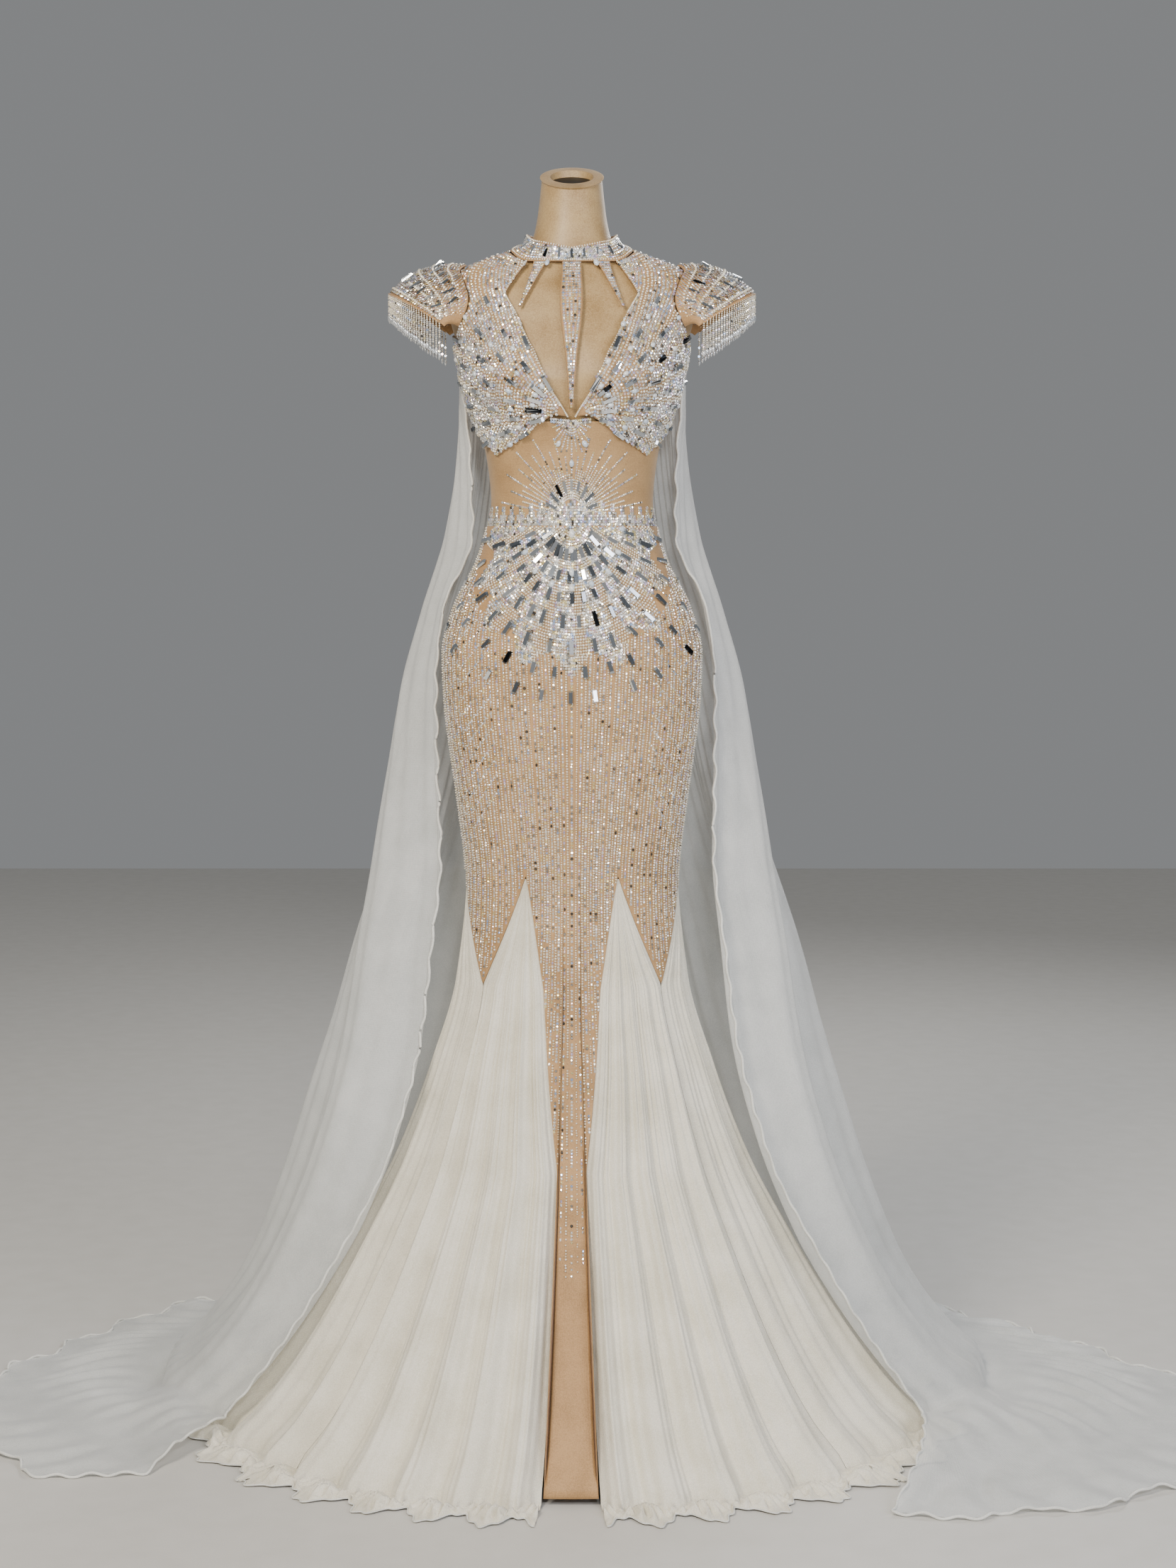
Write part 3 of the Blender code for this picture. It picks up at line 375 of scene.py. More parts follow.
@dataclass(frozen=True)
class Cloth:
    """A woven or knitted finish, with thread relief and soft uneven colour."""

    name: str
    light: str
    shade: str
    roughness: float
    sheen: float = 0.0
    alpha: float = 1.0
    thread_mm: float = 1.6
    relief: float = 0.25
    patch_mm: float = 45.0
    crease: float = 0.0

    def material(self) -> bpy.types.Material:
        """Makes the material once and gives the same one after that.

        Returns:
            The material.
        """
        found = bpy.data.materials.get(self.name)
        if found:
            return found
        made = blank(self.name)
        tree = made.node_tree
        spot = add(tree, "ShaderNodeTexCoord").outputs["Object"]
        patch = add(tree, "ShaderNodeTexNoise",
                    {"Vector": spot, "Scale": 1000 / self.patch_mm, "Detail": 4.0})
        fine = add(tree, "ShaderNodeTexNoise",
                   {"Vector": spot, "Scale": 1000 / self.thread_mm, "Detail": 2.0})
        both = add(tree, "ShaderNodeMath", {0: patch.outputs["Fac"], 1: fine.outputs["Fac"]}, operation="ADD")
        ramp = add(tree, "ShaderNodeValToRGB", {"Fac": add(
            tree, "ShaderNodeMath", {0: both.outputs[0], 1: 0.5}, operation="MULTIPLY").outputs[0]})
        ramp.color_ramp.elements[0].position, ramp.color_ramp.elements[1].position = 0.36, 0.62
        ramp.color_ramp.elements[0].color = linear(self.shade)
        ramp.color_ramp.elements[1].color = linear(self.light)
        thread = add(tree, "ShaderNodeUVMap", uv_map="cloth").outputs[0]
        weave = [add(tree, "ShaderNodeTexWave",
                     {"Vector": thread, "Scale": 314 / self.thread_mm, "Distortion": 0.6},
                     bands_direction=way) for way in ("X", "Y")]
        cross = add(tree, "ShaderNodeMath", {0: weave[0].outputs["Fac"], 1: weave[1].outputs["Fac"]},
                    operation="ADD")
        bump = add(tree, "ShaderNodeBump",
                   {"Height": cross.outputs[0], "Strength": self.relief, "Distance": 0.0004})
        soft = add(tree, "ShaderNodeTexNoise", {"Vector": spot, "Scale": 55.0, "Detail": 5.0})
        fold = add(tree, "ShaderNodeBump", {
            "Height": soft.outputs["Fac"], "Strength": self.crease, "Distance": 0.006,
            "Normal": bump.outputs[0]})
        surface = add(tree, "ShaderNodeBsdfPrincipled", {
            "Base Color": ramp.outputs[0], "Roughness": self.roughness, "Sheen Weight": self.sheen,
            "Sheen Roughness": 0.4, "Alpha": self.alpha, "Normal": fold.outputs[0]})
        add(tree, "ShaderNodeOutputMaterial", {"Surface": surface.outputs[0]})
        return made


@dataclass(frozen=True)
class Jewel:
    """A bead's finish: its colour runs through the given tones, by the bead's own number; on the crystals and
    mirror bars some of these tones are painted glints and painted reflections.
    """

    name: str
    tones_and_glints: tuple[tuple[float, str], ...]
    roughness: float
    metallic: float
    coat: float = 0.0

    def material(self) -> bpy.types.Material:
        """Makes the material once and gives the same one after that.

        Returns:
            The material.
        """
        found = bpy.data.materials.get(self.name)
        if found:
            return found
        made = blank(self.name)
        tree = made.node_tree
        # Each bead's number picks its colour; for crystals and mirror bars this paints glints and
        # reflections.
        number = add(tree, "ShaderNodeAttribute", attribute_name="tint").outputs["Fac"]
        ramp = add(tree, "ShaderNodeValToRGB", {"Fac": number})
        ramp.color_ramp.interpolation = "CONSTANT"
        while len(ramp.color_ramp.elements) < len(self.tones_and_glints):
            ramp.color_ramp.elements.new(1.0)
        for element, (place, code) in zip(ramp.color_ramp.elements, self.tones_and_glints):
            element.position = place
        for element, (place, code) in zip(ramp.color_ramp.elements, self.tones_and_glints):
            element.color = linear(code)
        surface = add(tree, "ShaderNodeBsdfPrincipled", {
            "Base Color": ramp.outputs[0], "Roughness": self.roughness, "Metallic": self.metallic,
            "Coat Weight": self.coat, "Coat Roughness": 0.05})
        add(tree, "ShaderNodeOutputMaterial", {"Surface": surface.outputs[0]})
        return made


# Satin woven over a padded form: warm tan with a soft shine and no visible thread.
FORM_SATIN = Cloth("polyester_satin_tan", "#bda072", "#98794c", 0.42, sheen=0.2, relief=0.06)
# Stretch power mesh: skin-coloured, matt, with a fine open knit.
NUDE_MESH = Cloth("nylon_power_mesh_nude", "#c39a69", "#a27d50", 0.62, sheen=0.25, relief=0.3)
# The sheer midriff: the same knit, through which the form shows a little.
SHEER_MESH = Cloth("nylon_sheer_mesh_nude", "#bf9a69", "#a68254", 0.6, sheen=0.25, relief=0.3)
# Soft nylon tulle in several plies: ivory, dull, with fine broken gathers.
TULLE = Cloth("nylon_tulle_ivory", "#f6f1e2", "#ded8c4", 0.8, sheen=0.4, relief=0.35, patch_mm=60,
              crease=0.25)
# Satin lining: peach-nude, with a low shine.
LINING_SATIN = Cloth("acetate_lining_peach", "#d3ad85", "#bd9469", 0.45, sheen=0.15, relief=0.08)
# Silk organza: crisp, cool white and half see-through.
ORGANZA = Cloth("silk_organza_white", "#eef0ee", "#d9dcda", 0.5, sheen=0.5, alpha=0.70, relief=0.3,
                crease=0.2)
# Rolled organza hem: the same cloth several times over, so it reads bright and solid.
ROLLED_HEM = Cloth("silk_organza_rolled", "#f0f0ea", "#d8d9d2", 0.6, sheen=0.4, relief=0.2)

# Foiled glass rhinestone: silver, with painted glints: the yellow, blue, violet and pink stones are painted
# flashes of a rainbow coating, the pure white ones are painted highlights, and the lighter and darker greys,
# down to the darkest, are painted reflections.
CRYSTAL = Jewel("foiled_glass_painted_glints", (
    (0.0, "#fbfaf6"), (0.30, "#ece8de"), (0.54, "#f7e9b4"), (0.63, "#bcd0f2"), (0.69, "#e0d2ee"),
    (0.74, "#f4d9d6"), (0.79, "#a9a69f"), (0.90, "#ffffff"), (0.975, "#55534f")), 0.22, 0.72, 0.6)
# Mirror-backed glass bar: silver-grey; the lighter and darker greys between bars are painted reflections, and
# a few bars are almost black.
MIRROR = Jewel("mirror_glass_bar_painted_reflections", (
    (0.0, "#dfe3e6"), (0.35, "#b6bcc1"), (0.65, "#8c9298"), (0.84, "#eef0f2"), (0.95, "#24272b")), 0.07, 0.95)
# Pearl-coated glass seed bead: cream with a soft gleam.
PEARL = Jewel("pearl_glass_seed", ((0.0, "#f4ecd8"), (0.4, "#e6dcc4"), (0.8, "#fffaf0")), 0.28, 0.15, 0.5)
# Opal glass: milky blue-white under a clear skin.
OPAL = Jewel("opal_glass", ((0.0, "#dfe6ea"), (0.4, "#cdd9e4"), (0.75, "#eeeeea")), 0.12, 0.05, 0.8)
# Clear cut-glass drop: bright and almost colourless.
CLEAR = Jewel("clear_glass_drop", ((0.0, "#eef1f3"), (0.5, "#d5dade")), 0.06, 0.55, 0.8)
# Blackened turned steel and moulded socket, hardly seen.
STAND_DARK = Jewel("blackened_steel", ((0.0, "#2a2a2b"), (0.9, "#343435")), 0.4, 0.9)


class Bead(Enum):
    """The kinds of bead, each with its profile rings (radius, height) and number of sides."""

    CRYSTAL = ("crystal", ((1.0, 0.15), (0.55, 0.75)), 6, CRYSTAL)
    BAR = ("bar", ((1.0, 0.1), (0.78, 0.9)), 4, MIRROR)
    SEED = ("seed", ((0.75, 0.1), (1.0, 0.7), (0.35, 1.5)), 5, PEARL)
    OPAL = ("opal", ((1.0, 0.05), (0.92, 0.35), (0.62, 0.72), (0.2, 0.9)), 10, OPAL)
    DROP = ("drop", ((0.15, -1.0), (0.8, -0.3), (1.0, 0.25), (0.6, 0.8), (0.1, 1.0)), 6, CLEAR)

    def template(self) -> bpy.types.Object:
        """Makes one bead of a unit size, facing +Z and with its length along +X.

        Returns:
            The object, which isn't linked to the scene.
        """
        label, rings, sides, _ = self.value
        turn = 0.5 if self is Bead.BAR else 0.0
        angles = 2 * np.pi * (np.arange(sides) + turn) / sides
        scale = math.sqrt(2) if self is Bead.BAR else 1.0
        points = [(scale * r * math.cos(a), scale * r * math.sin(a), h) for r, h in rings for a in angles]
        faces = []
        for i in range(len(rings) - 1):
            for j in range(sides):
                k = (j + 1) % sides
                faces.append((i * sides + j, i * sides + k, (i + 1) * sides + k, (i + 1) * sides + j))
        faces.append(tuple(len(points) - sides + j for j in range(sides)))
        faces.append(tuple(reversed(range(sides))))
        mesh = bpy.data.meshes.new(f"one_{label}")
        mesh.from_pydata(points, [], faces)
        mesh.update()
        if self in (Bead.OPAL, Bead.DROP, Bead.SEED):
            mesh.shade_smooth()
        return bpy.data.objects.new(f"one_{label}", mesh)


def stringing_tree() -> bpy.types.NodeTree:
    """Builds the tree that sets a bead on each point, by the point's own facing, run and size.

    Returns:
        The Geometry Nodes tree.
    """
    tree = bpy.data.node_groups.new("sewn_beads", "GeometryNodeTree")
    face = tree.interface
    face.new_socket("Geometry", in_out="INPUT", socket_type="NodeSocketGeometry")
    face.new_socket("Bead", in_out="INPUT", socket_type="NodeSocketObject")
    face.new_socket("Finish", in_out="INPUT", socket_type="NodeSocketMaterial")
    face.new_socket("Plumpness", in_out="INPUT", socket_type="NodeSocketFloat").default_value = 1.0
    face.new_socket("Geometry", in_out="OUTPUT", socket_type="NodeSocketGeometry")
    given = add(tree, "NodeGroupInput").outputs
    one = add(tree, "GeometryNodeObjectInfo", {"Object": given["Bead"]})
    field_of = {
        name: add(tree, "GeometryNodeInputNamedAttribute", {"Name": name},
                  data_type="FLOAT_VECTOR").outputs[0]
        for name in ("facing", "along", "size")
    }
    turn = add(tree, "FunctionNodeAxesToRotation", {
        "Primary Axis": field_of["facing"], "Secondary Axis": field_of["along"]}, primary_axis="Z",
               secondary_axis="X")
    grown = add(tree, "ShaderNodeVectorMath", {0: field_of["size"], "Scale": given["Plumpness"]},
                operation="SCALE")
    placed = add(tree, "GeometryNodeInstanceOnPoints", {
        "Points": given["Geometry"], "Instance": one.outputs["Geometry"], "Rotation": turn.outputs[0],
        "Scale": grown.outputs[0]})
    real = add(tree, "GeometryNodeRealizeInstances", {"Geometry": placed.outputs[0]})
    dressed = add(tree, "GeometryNodeSetMaterial", {"Geometry": real.outputs[0], "Material": given["Finish"]})
    add(tree, "NodeGroupOutput", {"Geometry": dressed.outputs[0]})
    return tree


@dataclass
class Surface:
    """Cloth that beads are sewn on, read through two coordinates."""

    spot: Callable[[Array, Array, float], Array]
    step: float = 0.0004

    def place(self, u: Array, v: Array, lift: float = 0.0) -> Array:
        """Points on the cloth, raised by the lift."""
        return self.spot(u, v, lift)

    def facing(self, u: Array, v: Array) -> Array:
        """The direction straight out of the cloth."""
        return unit(self.spot(u, v, 0.002) - self.spot(u, v, 0.0))

    def along(self, u: Array, v: Array, du: Array, dv: Array) -> Array:
        """The direction in the cloth of a step in its coordinates."""
        return unit(self.spot(u + du * self.step, v + dv * self.step, 0.0) - self.spot(u, v, 0.0))


def body_surface(out: float) -> Surface:
    """The figure's surface in metres round and metres up, raised by a piece's own stand-off."""
    return Surface(lambda u, v, lift: BODY.skin(np.degrees(u / UNROLLED), v, out + lift))


@dataclass
class Beadwork:
    """All the beads sewn on one piece, by kind."""

    piece: str
    surface: Surface
    seed: int
    rows: dict = field(default_factory=dict)

    def __post_init__(self) -> None:
        """Starts the piece's own random draws."""
        self.draw = np.random.default_rng(self.seed)

    def sew(self, kind: Bead, u: Array, v: Array, run: tuple, size: tuple,
            tilt: float = 0.12, lift: float = 0.0) -> None:
        """Sews beads of one kind.

        Args:
            kind: Which bead.
            u: First coordinate of each.
            v: Second coordinate of each.
            run: The direction of each one's length, as two steps.
            size: Half length, half width and height in metres.
            tilt: How far each may lean, which makes a row glitter unevenly.
            lift: How far the bead's base stands off the cloth.
        """
        u, v = np.broadcast_arrays(np.asarray(u, float).ravel(), np.asarray(v, float).ravel())
        if not len(u):
            return
        run = [np.broadcast_to(np.asarray(r, float), u.shape) for r in run]
        place = self.surface.place(u, v, lift)
        facing = self.surface.facing(u, v) + self.draw.normal(0, tilt, place.shape)
        along = self.surface.along(u, v, run[0], run[1])
        self.scatter(kind, place, unit(facing), along, size)

    def scatter(self, kind: Bead, place: Array, facing: Array, along: Array, size: tuple) -> None:
        """Adds beads whose places and directions are already known.

        Args:
            kind: Which bead.
            place: Points.
            facing: Outward directions.
            along: Directions of the bead's length.
            size: Half length, half width and height in metres.
        """
        count = len(place)
        sizes = np.broadcast_to(np.asarray(size, float), (count, 3)) * self.draw.uniform(0.92, 1.08,
                                                                                         (count, 1))
        numbers = self.draw.random(count)
        table = np.concatenate([place, facing, np.broadcast_to(along, place.shape), sizes, numbers[:, None]],
                               axis=1)
        self.rows.setdefault(kind, []).append(table)

    def make(self, tree: bpy.types.NodeTree) -> list[bpy.types.Object]:
        """Turns the beads into one plain mesh for each kind.

        Args:
            tree: The stringing tree.

        Returns:
            The finished pieces.
        """
        made = []
        for kind, tables in self.rows.items():
            table = np.concatenate(tables)
            cloud = bpy.data.meshes.new("cloud")
            cloud.from_pydata(table[:, :3].tolist(), [], [])
            for name, first in (("facing", 3), ("along", 6), ("size", 9)):
                data = cloud.attributes.new(name, "FLOAT_VECTOR", "POINT").data
                data.foreach_set("vector", table[:, first:first + 3].astype(np.float32).ravel())
            cloud.attributes.new("tint", "FLOAT", "POINT").data.foreach_set("value",
                                                                            table[:, 12].astype(np.float32))
            one = kind.template()
            holder = bpy.data.objects.new("holder", cloud)
            bpy.context.scene.collection.objects.link(holder)
            sewing = holder.modifiers.new("sewing", "NODES")
            sewing.node_group = tree
            inputs = {item.name: item.identifier for item in tree.interface.items_tree
                      if item.in_out == "INPUT"}
            sewing[inputs["Bead"]] = one
            sewing[inputs["Finish"]] = kind.value[3].material()
            sewing[inputs["Plumpness"]] = 1.0
            deps = bpy.context.evaluated_depsgraph_get()
            mesh = bpy.data.meshes.new_from_object(
                holder.evaluated_get(deps), preserve_all_data_layers=True, depsgraph=deps)
            bpy.data.objects.remove(holder)
            bpy.data.objects.remove(one)
            mesh.materials.clear()
            mesh.materials.append(kind.value[3].material())
            piece = bpy.data.objects.new(f"{self.piece}_{kind.value[0]}s", mesh)
            bpy.context.scene.collection.objects.link(piece)
            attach(piece, "root")
            made.append(piece)
        return made


def rings(centre: tuple, radii: Array, pitch: float, start: float, end: float) -> tuple[Array, Array, Array,
                                                                                        Array]:
    """Places on arcs round a centre, evenly spaced along each.

    Args:
        centre: The two coordinates of the middle.
        radii: The arcs' radii.
        pitch: The spacing along an arc.
        start: The first angle in degrees, measured from straight down and + towards +u.
        end: The last angle.

    Returns:
        Both coordinates, the angles in degrees and the radii.
    """
    angles, reach = [], []
    for k, radius in enumerate(radii):
        count = max(3, int(math.radians(end - start) * radius / pitch))
        turn = np.linspace(start, end, count) + (0.5 * (end - start) / count if k % 2 else 0.0)
        angles.append(turn)
        reach.append(np.full(count, radius))
    angle, radius = np.concatenate(angles), np.concatenate(reach)
    rad = np.radians(angle)
    return centre[0] + radius * np.sin(rad), centre[1] - radius * np.cos(rad), angle, radius


def inside(u: Array, v: Array, rim: Array) -> Array:
    """Whether each place lies within a closed outline.

    Args:
        u: First coordinates.
        v: Second coordinates.
        rim: The outline's corners.

    Returns:
        True where it does.
    """
    held = np.zeros(u.shape, bool)
    for (x0, y0), (x1, y1) in zip(rim, np.roll(rim, -1, axis=0)):
        if y0 != y1:
            crosses = (y0 > v) != (y1 > v)
            held ^= crosses & (u < (x1 - x0) * (v - y0) / (y1 - y0) + x0)
    return held


def settle(piece: bpy.types.Object, node: str | None = None,
           finish: object = None) -> bpy.types.Object:
    """Gives a piece its finish, its body and the node it stands for.

    Args:
        piece: The piece.
        node: The CAD node it replaces, if any.
        finish: The finish to wear.

    Returns:
        The same piece.
    """
    if finish is not None:
        piece.data.materials.clear()
        piece.data.materials.append(finish.material())
    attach(piece, "root")
    if node:
        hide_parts(node)
    return piece


@dataclass
class DressForm:
    """The limbless satin body, its socket and its stand."""

    columns: int = 96
    cap_inset: float = 0.003
    socket: tuple = (0.0285, 0.010)

    def lean(self, points: Array, whole: bool) -> Array:
        """Tips the neck forwards.

        Args:
            points: One ring or more.
            whole: Whether the full lean holds, as on the cap.

        Returns:
            The moved points.
        """
        share = 1.0 if whole else np.clip((points[..., 2] - NECK_START) / (NECK_TOP - NECK_START), 0, None)
        moved = points.copy()
        moved[..., 2] += math.tan(math.radians(NECK_LEAN)) * share * points[..., 1]
        return moved

    def build(self) -> None:
        """Makes the fine body and dresses the CAD nodes that stay."""
        b = np.arange(self.columns) * 360 / self.columns
        top = NECK_TOP + self.cap_inset
        rim = oval(b, *(c.at(NECK_TOP) for c in (BODY.side, BODY.front, BODY.back)))
        radius, depth = self.socket
        above = [around(b, radius, top - depth), around(b, radius, top), around(b, radius + 0.002, top)]
        above += [around(b, rim - self.cap_inset, top), around(b, rim - 0.0012, top - 0.0006)]
        heights = np.concatenate([np.linspace(NECK_TOP, 1.45, 60),
                                  np.linspace(1.445, FORM_BOTTOM + FORM_ROUND, 80)])
        sides = [self.lean(BODY.skin(b, h, -FORM_INSET), False) for h in heights]
        turned = []
        for k in range(1, 6):
            turn = math.pi / 2 * k / 5
            inset = FORM_INSET + (FORM_ROUND - FORM_INSET) * (1 - math.cos(turn))
            height = FORM_BOTTOM + FORM_ROUND * (1 - math.sin(turn))
            turned.append(around(b, BODY.radius(b, height) - inset, height))
        grid = np.stack([self.lean(r, True) for r in above] + sides + turned)
        rows = len(grid)
        faces = grid_faces(rows, self.columns, True).tolist()
        faces.append(list(range(self.columns)))
        faces.append([(rows - 1) * self.columns + k for k in reversed(range(self.columns))])
        body = plain_mesh("form_satin_body", grid, faces)
        body.data.uv_layers.new(name="cloth")
        body.data.shade_smooth()
        body.data.set_sharp_from_angle(angle=math.radians(50))
        settle(body, "form_torso", FORM_SATIN)
        for node in ("form_neck_socket", "form_pole", "form_base"):
            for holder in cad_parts[node].material_slots:
                holder.material = STAND_DARK.material()
        log.info("dress form: %d faces", len(body.data.polygons))


@dataclass
class Collar:
    """The high beaded collar, the keyhole's bar and its two prongs."""

    tree: bpy.types.NodeTree
    pitch: float = 0.0036
    prong: tuple = ((0.0400, 1.5472), (0.0655, 1.4880), 0.0170, 0.0030)

    def band(self) -> None:
        """Makes the collar and its rows of crystals."""
        columns, rows = 160, 9
        top, bottom = table_curve(COLLAR_TOP), table_curve(COLLAR_BOTTOM)
        b = np.arange(columns) * 360 / columns
        short = np.minimum(b, 360 - b)
        w = np.linspace(0, 1, rows)[:, None]
        grid = BODY.skin(b[None], mix(top.at(short)[None], bottom.at(short)[None], w), BODICE_OUT)
        band = settle(shell("collar_cloth", grid, True, BEADED_WALL), "collar_band", NUDE_MESH)

        def spot(u: Array, v: Array, lift: float) -> Array:
            """A point on the collar, by degrees round and share of its height."""
            near = np.abs((u + 180) % 360 - 180)
            return BODY.skin(u, mix(top.at(near), bottom.at(near), v), BODICE_OUT + BEADED_WALL + lift)

        work = Beadwork("collar", Surface(spot, 0.02), 11)
        for k in range(8):
            v = 0.06 + 0.88 * k / 7
            count = int(112 + 6 * k)
            u = (np.arange(count) + 0.5 * (k % 2)) * 360 / count
            kind = Bead.SEED if k in (0, 7) else Bead.CRYSTAL
            size = (0.0014, 0.0014, 0.0014) if k in (0, 7) else (0.0022, 0.0022, 0.0017)
            work.sew(kind, u, np.full(count, v), (1.0, 0.0), size)
        u = np.arange(0, 360, 15.0)
        work.sew(Bead.BAR, u, np.full(len(u), 0.5), (0.0, 1.0), (0.0085, 0.0019, 0.0022))
        for u in (-26.0, 26.0):
            drop = np.array([u])
            work.sew(Bead.OPAL, drop, [1.12], (0.0, 1.0), (0.0052, 0.0034, 0.0034), tilt=0.0)
            work.sew(Bead.CRYSTAL, drop, [0.80], (0.0, 1.0), (0.0030, 0.0030, 0.0030), tilt=0.0)
        beads = work.make(self.tree)

    def narrow(self, node: str, spot: Callable, length: float, widths: tuple, seed: int) -> None:
        """Makes a narrow beaded strip.

        Args:
            node: The CAD node.
            spot: A point by share across and share down.
            length: How long it is.
            widths: Its width at the top and at the foot.
            seed: The number its random draws start from.
        """
        across, down = np.meshgrid(np.linspace(-1, 1, 7), np.linspace(0, 1, 40))
        strip = shell(f"{node}_cloth", spot(across, down, 0.0), False, BEADED_WALL)
        settle(strip, node, NUDE_MESH)
        raised = Surface(lambda u, v, lift: spot(u, v, BEADED_WALL + lift), 0.01)
        work = Beadwork(node, raised, seed)
        steps = int(length / self.pitch)
        for k in range(steps):
            v = (k + 0.5) / steps
            width = widths[0] + (widths[1] - widths[0]) * v
            count = max(1, int(width / self.pitch))
            u = (np.arange(count) + 0.5) / count * 2 - 1
            work.sew(Bead.CRYSTAL, u * 0.88, np.full(count, v), (1.0, 0.0), (0.0021, 0.0021, 0.0017))
        beads = work.make(self.tree)

    def build(self) -> None:
        """Makes the collar, the bar and the prongs."""
        self.band()
        half = table_curve(BAR)

        def bar(u: Array, v: Array, lift: float) -> Array:
            """A point on the bar."""
            height = mix(BAR[0][0], BAR[-1][0], v)
            return BODY.skin(BODY.bearing_at(half.at(height), height) * u, height, BAR_OUT + lift)

        self.narrow("keyhole_bar", bar, 0.187, (0.027, 0.006), 12)
        (x0, z0), (x1, z1), wide, thin = self.prong
        for side, hand in (("left", -1), ("right", 1)):

            def prong(u: Array, v: Array, lift: float, hand: int = hand) -> Array:
                """A point on a prong.

                Args:
                    u: Shares across, from -1 to 1.
                    v: Shares down.
                    lift: How far it stands off.
                    hand: -1 or 1.

                Returns:
                    Points.
                """
                height = mix(z0, z1, v)
                x = mix(x0, x1, v) + hand * u * mix(wide, thin, np.clip(v, 0, 1) ** 0.7) / 2
                return BODY.skin(hand * BODY.bearing_at(x, height), height, BAR_OUT + lift)

            self.narrow(f"keyhole_prong_{side}", prong, 0.064, (0.017, 0.004), 13 + hand)
        log.info("collar, bar and prongs")


